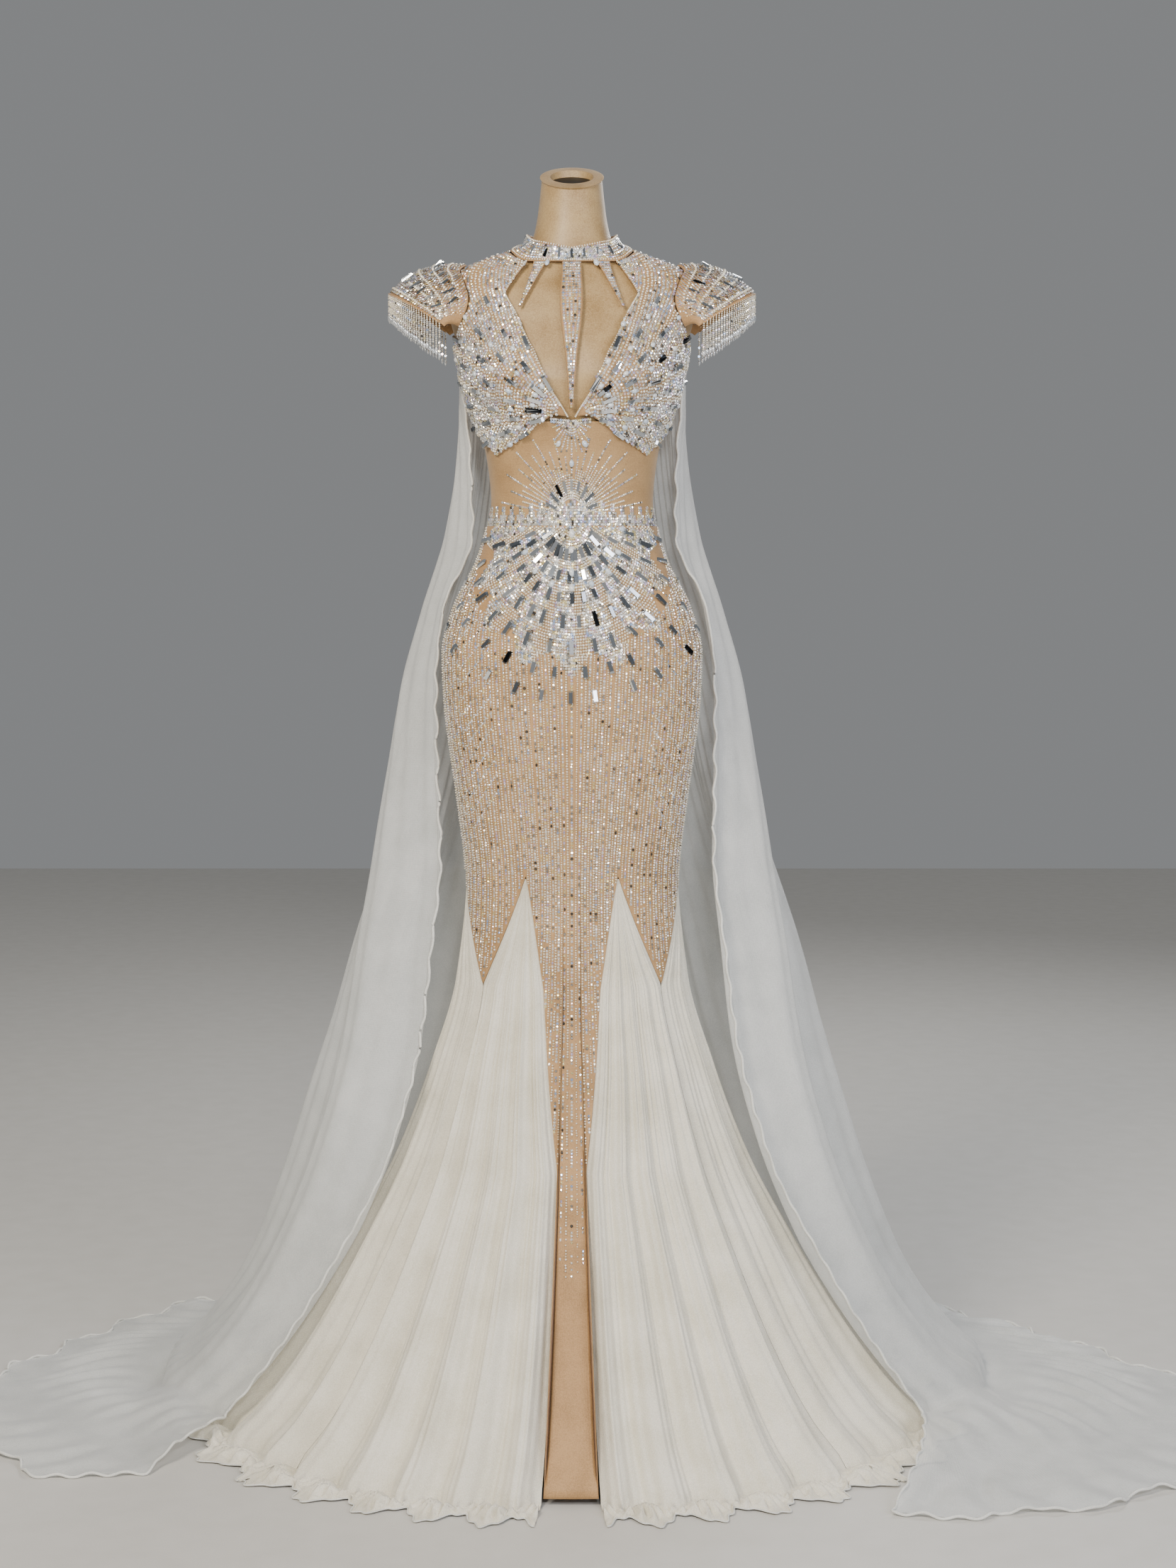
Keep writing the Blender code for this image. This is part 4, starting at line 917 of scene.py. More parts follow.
@dataclass
class Bodice:
    """The beaded wings, the plain backs and the sheer midriff."""

    tree: bpy.types.NodeTree
    ribs: int = 19
    fan_z: float = 1.355
    pitch: float = 0.0039

    def armhole(self, height: Array) -> Array:
        """How far the armhole's edge lies from the side seam, in degrees."""
        share = np.clip((height - ARMPIT) / (SHOULDER - ARMPIT), 0, 1)
        return 24 * np.clip(np.sin(np.pi * share), 0, 1) ** 0.7

    def patch(self, inner: Callable, outer: Callable, top: Callable, bottom: Callable, v: Array,
              w: Array) -> Array:
        """Places inside four edges, each a function from 0 to 1 that gives a bearing and a height.

        Args:
            inner: The edge nearest the middle.
            outer: The edge at the side.
            top: The upper edge.
            bottom: The lower edge.
            v: Shares down.
            w: Shares across.

        Returns:
            Bearings and heights.
        """
        zero, one = np.zeros_like(v), np.ones_like(v)
        across = [mix(a, b, w) for a, b in zip(inner(v), outer(v))]
        down = [mix(a, b, v) for a, b in zip(top(w), bottom(w))]
        upper = [mix(a, b, w) for a, b in zip(top(zero), top(one))]
        lower = [mix(a, b, w) for a, b in zip(bottom(zero), bottom(one))]
        return np.stack([a + d - mix(p, q, v) for a, d, p, q in zip(across, down, upper, lower)])

    def front(self, v: Array, w: Array) -> Array:
        """A wing's bearing and height for the right hand.

        Args:
            v: Shares down.
            w: Shares across.

        Returns:
            Bearings and heights.
        """
        seam = math.degrees(SEAM / 0.1)
        low = table_curve(COLLAR_BOTTOM)
        key = np.array([(float(BODY.bearing_at(x, z)), z) for x, z in KEYHOLE])
        hem = np.array([(float(BODY.bearing_at(x, z)), z) for x, z in BODICE_HEM])

        def along(rows: Array, t: Array) -> tuple:
            """A straight-line walk through an outline."""
            stops = np.arange(len(rows))
            return tuple(np.interp(t * (len(rows) - 1), stops, rows[:, k]) for k in (0, 1))

        def inner(t: Array) -> tuple:
            """The keyhole's edge."""
            b, z = along(key, t)
            return b, z - 2 * SEAM * (1 - t)

        def top(t: Array) -> tuple:
            """The shoulder edge."""
            b = mix(key[0, 0], 90 - seam, t)
            return b, low.at(b) - 2 * SEAM

        def outer(t: Array) -> tuple:
            """The armhole and side seam."""
            z = mix(top(np.ones_like(t))[1], SIDE_HEM, t)
            return 90 - seam - self.armhole(z), z

        def bottom(t: Array) -> tuple:
            """The pointed hem."""
            b, z = along(hem, t)
            return np.minimum(b, 90 - seam), z

        return self.patch(inner, outer, top, bottom, v, w)

    def wing(self, side: str, hand: int) -> None:
        """Makes one wing with its rays of crystals, bars and opals.

        Args:
            side: The side's name.
            hand: -1 or 1.
        """
        w, v = np.meshgrid(np.linspace(0, 1, 70), np.linspace(0, 1, 100))
        b, z = self.front(v ** 1.25, w)
        b = hand * b
        if hand < 0:
            b, z = b[:, ::-1], z[:, ::-1]
        cloth = shell(f"bodice_wing_{side}", BODY.skin(b, z, BODICE_OUT), False, BEADED_WALL)
        settle(cloth, f"bodice_front_{side}", NUDE_MESH)
        s, u = np.radians(b) * UNROLLED, z
        rim = np.concatenate([np.stack([s[e], u[e]], -1) for e in (
            (0, slice(None)), (slice(None), -1), (-1, slice(None, None, -1)), (slice(None, None, -1), 0))])
        work = Beadwork(f"bodice_{side}", body_surface(BODICE_OUT + BEADED_WALL), 21 + hand)
        centre = (hand * 0.012, self.fan_z)
        first = 20 if hand > 0 else -180
        x, y, angle, _ = rings(centre, np.arange(0.010, 0.26, RING_STEP), self.pitch, first, first + 160)
        ok = inside(x, y, rim)
        x, y, angle = x[ok], y[ok], angle[ok]
        rad = np.radians(angle)
        run = (np.sin(rad), -np.cos(rad))
        pale = np.round(angle / 2.4).astype(int) % 5 == 1
        for kind, pick, size in ((Bead.SEED, pale, LARGE_SEED), (Bead.CRYSTAL, ~pale, LARGE_CRYSTAL)):
            work.sew(kind, x[pick], y[pick], (run[0][pick], run[1][pick]), size, tilt=0.16)
        for k, reach in enumerate((0.040, 0.068, 0.096, 0.122, 0.150, 0.178)):
            turn = (np.arange(self.ribs * 2) + 0.5 * (k % 2)) * 360 / self.ribs
            rad = np.radians(turn)
            x, y = centre[0] + reach * np.sin(rad), centre[1] - reach * np.cos(rad)
            ok = inside(x, y, rim)
            x, y, rad = x[ok], y[ok], rad[ok]
            half = 0.0108 if k % 2 == 0 else 0.0085
            work.sew(Bead.BAR, x, y, (np.sin(rad), -np.cos(rad)), (half, 0.0029, 0.0032), tilt=0.14,
                     lift=0.0008)
            x2, y2 = x + 0.5 * 0.33 * reach * np.cos(rad), y + 0.5 * 0.33 * reach * np.sin(rad)
            ok = inside(x2, y2, rim)
            work.sew(Bead.OPAL, x2[ok], y2[ok], (np.sin(rad[ok]), -np.cos(rad[ok])), (0.0044, 0.0034, 0.0036),
                     tilt=0.05, lift=0.0010)
        edge = self.front(np.linspace(0, 1, 90), np.full(90, 0.012))
        work.sew(Bead.SEED, hand * np.radians(edge[0]) * UNROLLED, edge[1], (0.0, 1.0),
                 (0.0014, 0.0014, 0.0014), tilt=0.0)
        beads = work.make(self.tree)

    def back(self, side: str, hand: int) -> None:
        """Makes half of the plain back.

        Args:
            side: The side's name.
            hand: -1 or 1.
        """
        seam = math.degrees(SEAM / 0.1)
        low = table_curve(COLLAR_BOTTOM)

        def top(t: Array) -> tuple:
            """The neck edge."""
            b = mix(90 + seam, 180 - seam / 2, t)
            return b, low.at(b) - 2 * SEAM

        def edge(t: Array) -> tuple:
            """The armhole and side seam."""
            z = mix(top(np.zeros_like(t))[1], SIDE_HEM, t)
            return 90 + seam + self.armhole(z), z

        def middle(t: Array) -> tuple:
            """The zip's edge."""
            return np.full_like(t, 180 - seam / 2), mix(top(np.ones_like(t))[1], BACK_HEM, t)

        def bottom(t: Array) -> tuple:
            """The hem."""
            return mix(90 + seam, 180 - seam / 2, t), mix(SIDE_HEM, BACK_HEM, t)

        w, v = np.meshgrid(np.linspace(0, 1, 50), np.linspace(0, 1, 80))
        b, z = self.patch(edge, middle, top, bottom, v ** 1.6, w)
        b = hand * b
        if hand < 0:
            b, z = b[:, ::-1], z[:, ::-1]
        cloth = shell(f"bodice_plain_back_{side}", BODY.skin(b, z, BODICE_OUT), False, BEADED_WALL)
        settle(cloth, f"bodice_back_{side}", NUDE_MESH)

    def midriff(self) -> None:
        """Makes the sheer mesh, with the spray below the keyhole and the spokes above the waist."""
        b = np.arange(144) * 2.5
        heights = np.linspace(1.343, WAIST + SEAM, 50)
        cloth = shell("midriff_sheer", BODY.skin(b[None], heights[:, None]), True, MESH_WALL)
        settle(cloth, "midriff_mesh", SHEER_MESH)
        work = Beadwork("midriff", body_surface(MESH_WALL), 31)
        for k, turn in enumerate(np.linspace(-72, 72, 13)):
            reach = 0.052 - 0.020 * abs(turn) / 72 - (0.008 if k % 2 else 0.0)
            r = np.arange(0.006, reach, 0.0034)
            rad = math.radians(turn)
            work.sew(Bead.CRYSTAL, r * math.sin(rad), FAN_TOP - r * math.cos(rad), (0, 1),
                     (0.0016, 0.0016, 0.0013))
            tip = reach + 0.003
            if k in (3, 6, 9):
                work.sew(Bead.OPAL, [tip * math.sin(rad)], [FAN_TOP - tip * math.cos(rad)],
                         (math.sin(rad), -math.cos(rad)), (0.0050, 0.0034, 0.0034))
        for k, turn in enumerate(np.linspace(98, 262, 41)):
            rad = math.radians(turn)
            reach = (0.090, 0.052, 0.072, 0.046)[k % 4] + 0.05 * abs(math.sin(rad))
            kind = Bead.SEED if k % 2 else Bead.CRYSTAL
            r = np.arange(0.024, reach, 0.0033)
            z = HUB_Z - r * math.cos(rad)
            keep = (z < 1.325) & (z > WAIST + 0.001)
            work.sew(kind, (r * math.sin(rad))[keep], z[keep], (math.sin(rad), -math.cos(rad)),
                     (0.0015, 0.0015, 0.0012))
        for z in np.arange(WAIST + 0.001, 1.256, 0.0037):
            s = np.arange(-0.192, 0.193, 0.0038)
            s = s[z < 1.229 + 0.010 * np.cos(s * 2 * np.pi / 0.019) + 0.016 * np.exp(-(s / 0.05) ** 2)]
            work.sew(Bead.CRYSTAL, s, np.full(s.shape, z), (1, 0), (0.0022, 0.0022, 0.0018), tilt=0.18)
        s = np.arange(-0.030, 0.0301, 0.0036)
        for z in (1.3435, 1.3400):
            work.sew(Bead.CRYSTAL, s, np.full(s.shape, z) + 0.10 * np.abs(s), (1, 0),
                     (0.0021, 0.0021, 0.0017), lift=0.0006)
        turn = np.radians(np.linspace(110, 250, 9))
        work.sew(Bead.BAR, 0.040 * np.sin(turn), HUB_Z - 0.040 * np.cos(turn), (np.sin(turn), -np.cos(turn)),
                 (0.009, 0.0022, 0.0028), lift=0.001)
        beads = work.make(self.tree)

    def build(self) -> None:
        """Makes both wings, both backs and the midriff."""
        for side, hand in (("left", -1), ("right", 1)):
            self.wing(side, hand)
            self.back(side, hand)
        self.midriff()
        log.info("bodice and midriff")


@dataclass
class CapSleeve:
    """A beaded cap that stands out to a point, with its bead fringe."""

    tree: bpy.types.NodeTree
    bodice: Bodice
    side: str
    hand: int
    strands: int = 62
    longest: float = 0.047
    shortest: float = 0.036

    def edge(self, q: Array) -> Array:
        """The outer edge, from its low front end over the point to its low back end.

        Args:
            q: Shares along the edge.

        Returns:
            Points.
        """
        out = np.clip(np.sin(np.pi * q), 0, 1)
        x = CAP_LOW_X + (CAP_TIP - CAP_LOW_X) * out ** 0.9
        z = CAP_LOW + (CAP_TIP_HEIGHT - CAP_LOW) * out ** 0.8
        return np.stack([self.hand * x, -CAP_LOW_Y * np.cos(np.pi * q), z], -1)

    def root(self, q: Array) -> Array:
        """The inner edge, just off the armhole.

        Args:
            q: Shares along the edge.

        Returns:
            Points.
        """
        rise = np.clip(np.sin(np.pi * q), 0, 1)
        height = mix(CAP_LOW + 0.002, SHOULDER - 0.0005, rise ** 0.8)
        bearing = 90 - self.bodice.armhole(height) * np.sign(0.5 - q + 1e-9)
        return BODY.skin(self.hand * bearing, height, CAP_OUT)

    def spot(self, q: Array, s: Array, lift: float) -> Array:
        """A point of the cap's outer face, by share along and share out.

        Args:
            q: Shares along.
            s: Shares out.
            lift: How far it stands off the face.

        Returns:
            Points.
        """
        q, s = np.broadcast_arrays(q, s)
        dome = CAP_DOME * np.sin(np.pi * s) * (0.35 + 0.65 * np.sin(np.pi * q))
        facing = unit(np.stack([self.hand * 0.45 + 0 * q, -0.35 * np.cos(np.pi * q), 0.85 + 0 * q], -1))
        return mix(self.root(q), self.edge(q), s[..., None]) + facing * (dome + lift)[..., None]

    def build(self) -> None:
        """Makes the cap, its crystals and its fringe."""
        q, s = np.meshgrid(np.linspace(0, 1, 90), np.linspace(0, 1, 30))
        if self.hand < 0:
            q = q[:, ::-1]
        cap = shell(f"cap_cloth_{self.side}", self.spot(q, s, 0.0), False, BEADED_WALL)
        settle(cap, f"cap_sleeve_{self.side}", NUDE_MESH)
        raised = Surface(lambda u, v, lift: self.spot(u, v, BEADED_WALL + 0.0011 + lift), 0.01)
        work = Beadwork(f"cap_{self.side}", raised, 41 + self.hand)
        for k in range(25):
            v = 0.02 + 0.96 * k / 24
            count = int(50 + 26 * v)
            u = 0.02 + 0.96 * (np.arange(count) + 0.5 * (k % 2)) / count
            kind = Bead.SEED if k % 5 == 3 else Bead.CRYSTAL
            work.sew(kind, u, np.full(count, v), (1, 0), (0.0022, 0.0022, 0.0018), tilt=0.20)
        u = np.linspace(0.08, 0.92, 15)
        for v in (0.3, 0.72):
            work.sew(Bead.BAR, u, np.full(len(u), v), (0, 1), (0.0085, 0.0023, 0.0028), lift=0.0006)
        beads = work.make(self.tree)
        self.fringe()

    def fringe(self) -> None:
        """Makes the strands: seed beads and crystals on a thread, with a clear drop at the end."""
        work = Beadwork(f"fringe_{self.side}", body_surface(0.0), 43 + self.hand)
        q = np.linspace(0.02, 0.98, self.strands)
        start = self.edge(q)
        ahead = self.edge(q + 0.002) - start
        outward = unit(np.stack([ahead[:, 1], -ahead[:, 0], 0 * q], -1))
        outward *= np.sign(outward[:, :1] * self.hand + 1e-9)
        start = start + outward * (BEADED_WALL + 0.0012)
        tip = np.clip((np.abs(start[:, 0]) - CAP_LOW_X) / (CAP_TIP - CAP_LOW_X), 0, 1)
        length = mix(self.longest, self.shortest, tip ** 3) * work.draw.uniform(0.93, 1.0, len(q))
        down = np.array([0.0, 0.0, -1.0])
        parts = tuple((Bead.SEED, 0.03 + 0.062 * k, 0.0013) for k in range(13) if k % 4 != 3)
        parts += tuple((Bead.CRYSTAL, share, 0.0017) for share in (0.216, 0.464, 0.712))
        parts += ((Bead.DROP, 0.91, 0.0040),)
        for kind, share, half in parts:
            place = start + down * (length * share)[:, None]
            if kind is Bead.DROP:
                work.scatter(kind, place, np.broadcast_to(-down, place.shape), outward,
                             (0.0021, 0.0021, half))
            else:
                work.scatter(kind, place - outward * 0.0006, outward, np.broadcast_to(down, place.shape),
                             (half, half, half))
        beads = work.make(self.tree)
        offsets = np.array([(1, 0), (-0.5, 0.87), (-0.5, -0.87)]) * 0.0003
        points, faces = [], []
        for k in range(len(q)):
            first = len(points)
            for z in (0.0, -length[k] * 0.9):
                points += [(start[k, 0] + dx, start[k, 1] + dy, start[k, 2] + z) for dx, dy in offsets]
            faces += [(first + j, first + (j + 1) % 3, first + 3 + (j + 1) % 3,
                       first + 3 + j) for j in range(3)]
        thread = plain_mesh(f"fringe_threads_{self.side}", np.array(points), faces)
        settle(thread, None, ROLLED_HEM)
        tape = np.stack([start + np.array([0, 0, 0.0014]), start - np.array([0, 0, 0.0014])])
        band = shell(f"fringe_tape_{self.side}", tape[:, ::-1] if self.hand < 0 else tape, False, 0.001)
        settle(band, f"sleeve_fringe_{self.side}", NUDE_MESH)
        log.info("cap and fringe %s: %d strands, %d kinds", self.side, len(q), len(beads))


@dataclass
class Skirt:
    """The beaded sheath, with its sunburst at the waist and its falling lines."""

    tree: bpy.types.NodeTree
    burst: float = 0.205
    pitch: float = 0.0037
    centre_z: float = 1.222

    def zigzag(self, bearing: Array) -> Array:
        """The height at which the panels end."""
        return np.interp(np.abs(bearing), [e[0] for e in ZIGZAG], [e[1] for e in ZIGZAG])

    def panel(self, name: str, bearings: Array, node: str) -> bpy.types.Object:
        """Makes one panel, from the waist to its points.

        Args:
            name: The piece's name.
            bearings: Its columns.
            node: The CAD node.

        Returns:
            The piece.
        """
        near = np.abs((bearings + 180) % 360 - 180)
        upper = np.linspace(WAIST, FORM_BOTTOM, 110)[:, None] + 0 * bearings[None]
        lower = mix(FORM_BOTTOM, self.zigzag(near)[None], np.linspace(0, 1, 70)[1:, None])
        heights = np.concatenate([upper, lower])
        piece = shell(name, BODY.skin(bearings[None], heights), False, BEADED_WALL)
        return settle(piece, node, NUDE_MESH)

    def lines(self, work: Beadwork, starts: Array, ends: Array, depth: Array) -> None:
        """Sews falling lines that leave the burst like rays and bend down to the panel's points.

        Args:
            work: The beadwork.
            starts: Each line's first place.
            ends: Each line's last place.
            depth: How strongly each keeps its first direction.
        """
        for k, (a, b) in enumerate(zip(starts, ends)):
            t = np.linspace(0, 1, 400)
            s = mix(a[0], b[0], t ** depth[k])
            z = mix(a[1], b[1], t)
            walk = np.concatenate([[0], np.cumsum(np.hypot(np.diff(s), np.diff(z)))])
            style = k % 4
            pitch = (0.0034, 0.0040, 0.0030, 0.0046)[style]
            at = np.arange(0.0, walk[-1], pitch)
            u, v = np.interp(at, walk, s), np.interp(at, walk, z)
            kind = (Bead.SEED, Bead.CRYSTAL, Bead.SEED, Bead.CRYSTAL)[style]
            size = ((0.0016,) * 3, (0.0021, 0.0021, 0.0017), (0.0013,) * 3, (0.0024, 0.0017, 0.0015))[style]
            thin = np.interp(v, [0.3, 0.62, 0.8], [0.55, 0.85, 1.1])
            keep = work.draw.random(len(u)) < thin
            work.sew(kind, u[keep], v[keep], (0, -1), size, tilt=0.16)

    def front(self) -> None:
        """Makes the front panel and its beadwork."""
        bearings = np.unique(np.concatenate([np.linspace(-89.75, 89.75, 181),
                                             [-6.4, -6.0, 6.0, 6.4, -19, 19]]))
        cloth = self.panel("skirt_front_cloth", bearings, "skirt_front")
        work = Beadwork("skirt_front", body_surface(BEADED_WALL), 51)
        x, z, angle, radius = rings((0.0, self.centre_z), np.arange(0.010, self.burst, RING_STEP), self.pitch,
                                    -90, 90)
        bound = self.burst * (0.90 + 0.10 * np.cos(np.radians(angle * 2)))
        bound = bound * (0.93 + 0.07 * np.cos(np.radians(angle * 18)))
        ok = (z < WAIST - 0.001) & (np.abs(x) < 0.194) & (radius < bound)
        x, z, angle = x[ok], z[ok], angle[ok]
        ray = np.round(angle / 5).astype(int)
        pale = (ray % 4 == 1) | (work.draw.random(len(x)) < 0.12)
        rad = np.radians(angle)
        for kind, pick, size in ((Bead.SEED, pale, (0.0018, 0.0018, 0.0015)),
                                 (Bead.CRYSTAL, ~pale, LARGE_CRYSTAL)):
            work.sew(kind, x[pick], z[pick], (np.sin(rad[pick]), -np.cos(rad[pick])), size, tilt=0.17)
        for k, reach in enumerate((0.050, 0.078, 0.105, 0.135, 0.168, 0.200, 0.232)):
            turn = np.arange(-90, 91, 10.0) + (5.0 if k % 2 else 0.0) + work.draw.normal(0, 1.2, 19)
            rad = np.radians(turn)
            x, z = reach * np.sin(rad), self.centre_z - reach * np.cos(rad)
            ok = (z < WAIST - 0.010) & (np.abs(x) < 0.186)
            half = work.draw.uniform(0.0080, 0.0112)
            work.sew(Bead.BAR, x[ok], z[ok], (np.sin(rad[ok]), -np.cos(rad[ok])), (half, 0.0031, 0.0034),
                     tilt=0.15, lift=0.0010)
        heights = np.array([1.200, 1.178, 1.150])
        work.sew(Bead.OPAL, np.zeros(3), heights, (0, 1), (0.0064, 0.0044, 0.0044), tilt=0.0, lift=0.001)
        turn = np.radians(np.arange(-80, 81, 20.0))
        work.sew(Bead.OPAL, 0.092 * np.sin(turn), self.centre_z - 0.092 * np.cos(turn),
                 (np.sin(turn), -np.cos(turn)), (0.0048, 0.0037, 0.0038), lift=0.001)
        end_s = np.linspace(-0.191, 0.191, 83)
        near = np.abs(end_s)
        start_s = np.sign(end_s) * (near / 0.191) ** 0.82 * 0.188
        drop = np.sqrt(np.maximum(0.178 ** 2 - start_s ** 2, 0.014 ** 2))
        starts = np.stack([start_s, self.centre_z - drop], -1)
        bearing = np.degrees(near / UNROLLED)
        end_z = np.where(bearing < GORE_HALF, 0.24 + 3.2 * near, self.zigzag(bearing) + 0.008)
        ends = np.stack([end_s, end_z], -1)
        self.lines(work, starts, ends, np.where(near < 0.05, 0.5, 0.75))
        hip = []
        for k in range(15):
            for hand in (-1, 1):
                point = (hand * 0.148, 1.110 - 0.021 * k)
                for away in (-1, 1):
                    t = np.arange(0, 0.040 + 0.001 * k, 0.0034)
                    hip.append(np.stack([point[0] + away * t * 0.80, point[1] + t], -1))
        hip = np.concatenate(hip)
        hip = hip[np.abs(hip[:, 0]) < 0.194]
        work.sew(Bead.CRYSTAL, hip[:, 0], hip[:, 1], (1, 1), (0.0018, 0.0018, 0.0014), tilt=0.15)
        beads = work.make(self.tree)
        log.info("skirt front: %d kinds of bead", len(beads))

    def back(self) -> None:
        """Makes the back panel, with the same lines more thinly sewn."""
        cloth = self.panel("skirt_back_cloth", np.linspace(90.25, 269.75, 181), "skirt_back")
        work = Beadwork("skirt_back", body_surface(BEADED_WALL), 53)
        offsets = np.linspace(-0.185, 0.185, 37)
        half = math.pi * UNROLLED
        starts = np.stack([half + offsets, np.full(37, WAIST - 0.004)], -1)
        near = np.abs(offsets)
        middle = near < 0.075
        end_s = np.where(middle, near * 0.16, 0.118 + (near - 0.075) * 0.24)
        end_z = np.where(middle, 0.50, 0.64)
        ends = np.stack([half + np.sign(offsets) * end_s, end_z], -1)
        self.lines(work, starts, ends, np.full(37, 1.6))
        for z in np.arange(WAIST - 0.003, WAIST - 0.022, -0.0042):
            s = half + np.arange(-0.19, 0.19, 0.0044)
            work.sew(Bead.CRYSTAL, s, np.full(s.shape, z), (1, 0), (0.0021, 0.0021, 0.0016), tilt=0.16)
        beads = work.make(self.tree)
        log.info("skirt back: %d kinds of bead", len(beads))

    def build(self) -> None:
        """Makes both panels."""
        self.front()
        self.back()


@dataclass
class Godet:
    """One gathered tulle insert, from its apex to a hem that pools on the floor."""

    name: str
    apex: float
    low_tip: float
    high_tip: float
    pleats: int
    side: str
    hand: int
    columns: int = 150
    gathers: int = 27
    gather_depth: float = 0.0058

    def edges(self, height: Array) -> tuple[Array, Array]:
        """The bearings of its two seams.

        Args:
            height: Metres above the floor.

        Returns:
            The low and the high bearing.
        """
        drop = (GODET_TOP - height) / (GODET_TOP - PANEL_TIP)
        base = oval(np.float64(self.apex), BODY.side.at(height), BODY.front.at(height), BODY.back.at(height))
        gap = np.degrees(0.0002 / np.maximum(0.14, base))
        low_end = GORE_BEND if self.name == "front" else self.low_tip
        high_end = BACK_BEND if self.name == "back" else self.high_tip
        low, high = mix(self.apex, low_end, drop), mix(self.apex, high_end, drop)
        low_below, high_below = np.full_like(height, self.low_tip), np.full_like(height, self.high_tip)
        if self.name == "front":
            low_below = np.interp(height, [0.0, GORE_NARROW, PANEL_TIP], [GORE_HALF, GORE_HALF, GORE_BEND])
        if self.name == "back":
            high_below = np.interp(height, [0.0, BACK_POINT, PANEL_TIP], [180, 180, BACK_BEND])
        low, high = np.where(drop <= 1, low, low_below) + gap, np.where(drop <= 1, high, high_below) - gap
        narrow = high - low < 1.6
        return np.where(narrow, self.apex - 0.8, low), np.where(narrow, self.apex + 0.8, high)

    def gather(self, across: Array, height: Array) -> Array:
        """How far the folds stand out: the cut's broad waves with fine gathers on them.

        Args:
            across: Shares from one seam to the other.
            height: Metres above the floor.

        Returns:
            Distances in metres.
        """
        depth = (GODET_TOP - height) / GODET_TOP
        phase = 0.7 * self.apex + (1.1 if self.hand > 0 else 0.0)
        wave = 0.5 + 0.5 * np.sin(2 * np.pi * self.pleats * across + phase)
        window = np.minimum(1.0, 5 * np.sin(np.pi * np.clip(across, 0, 1)))
        fullness = 0.010 * depth * np.sin(np.pi * np.clip(across, 0, 1))
        drift = across + 0.012 * np.sin(9 * height + 5 * across) * depth
        sway = 2.0 * np.sin(2 * np.pi * 3 * across + phase)
        fine = 0.5 + 0.5 * np.sin(2 * np.pi * self.gathers * drift + sway)
        fine = fine * (0.65 + 0.35 * np.sin(2 * np.pi * 7 * across + 4 * height + phase))
        broad = 0.030 * depth ** 1.2 * wave * window
        small = self.gather_depth * fine * window * np.minimum(1, 3 * depth)
        return broad + fullness + small

    def build(self) -> None:
        """Makes the insert and its soft pooled hem."""
        heights = np.concatenate([np.linspace(0.752, 0.06, 120), np.linspace(0.055, 0.020, 10)])
        share = np.linspace(0, 1, self.columns)
        low, high = self.edges(heights)
        bearing = self.hand * mix(low[:, None], high[:, None], share[None])
        level = heights[:, None] + 0 * bearing
        fall = around(bearing, BODY.radius(bearing, level) + self.gather(share[None], level), level)
        low, high = self.edges(np.zeros(1))
        bearing = self.hand * mix(low[0], high[0], share)
        foot = 0.014
        start = BODY.radius(bearing, np.full_like(bearing, foot))
        start = start + self.gather(share, np.full_like(share, foot))
        turns = 2 * np.pi * self.pleats * share
        hem = oval(bearing, *HEM_OVAL) + 0.016 * np.sin(turns + self.apex)
        hem = hem + 0.004 * np.sin(2 * np.pi * 19 * share)
        reach = np.linspace(0.06, 1, 34)[:, None]
        ripple = 0.006 * (0.5 - 0.5 * np.cos(turns))[None] * (1.2 - reach)
        drift = share[None] + 0.02 * np.sin(7 * reach)
        fine = 0.5 + 0.5 * np.sin(2 * np.pi * self.gathers * drift + 3 * reach)
        crumple = 0.016 * fine * np.sin(np.pi * np.clip(reach, 0, 1))
        crumple = crumple * (0.6 + 0.4 * np.sin(2 * np.pi * 5 * share[None] + 6 * reach))
        pool = around(bearing[None], mix(start[None], hem[None], reach), FLOOR_CLEAR + ripple + crumple)
        grid = np.concatenate([fall, pool])
        if self.hand < 0:
            grid = grid[:, ::-1]
        node = f"godet_{self.name}_{self.side}"
        cloth = settle(shell(f"{node}_tulle", grid, False, 0.0), node, TULLE)
        rim = grid[-1]
        edge = sweep(f"{node}_hem", rim + np.array([0, 0, 0.0012]), 0.0011)
        settle(edge, None, ROLLED_HEM)


def sweep(name: str, path: Array, radius: float, sides: int = 5) -> bpy.types.Object:
    """A thin round roll along a path.

    Args:
        name: The piece's name.
        path: Its middle line.
        radius: Half its thickness.
        sides: How many faces it has round.

    Returns:
        The object.
    """
    tangent = unit(np.gradient(path, axis=0))
    side = unit(np.cross(tangent, np.array([0.13, 0.21, 0.97])))
    over = np.cross(side, tangent)
    turn = 2 * np.pi * np.arange(sides) / sides
    ring = side[:, None] * np.cos(turn)[None, :, None] + over[:, None] * np.sin(turn)[None, :, None]
    piece = shell(name, path[:, None] + ring * radius, True)
    return piece


@dataclass
class Linings:
    """The two nude linings that show in the parting of the front godets."""

    def build(self) -> None:
        """Makes both tubes with soft ripples that grow towards the hem."""
        for name, hem, out, spread in (("long", 0.010, 0.0, 0.0), ("short", 0.105, 0.0016, 0.015)):
            b = np.arange(180) * 2.0
            h = np.linspace(0.745, hem, 80)[:, None]
            extra = out + spread * (0.745 - h)
            strength = 1 if name == "short" else 0.6
            ripple = 0.0012 * np.sin(np.radians(b * 11))[None] * (0.745 - h) * strength
            grid = around(b[None], LINING_FORM.radius(b[None], h + 0 * b[None]) + extra + ripple, h)
            tube = settle(shell(f"lining_{name}_cloth", grid, True, TULLE_WALL),
                          f"lining_{name}", LINING_SATIN)
        log.info("linings")


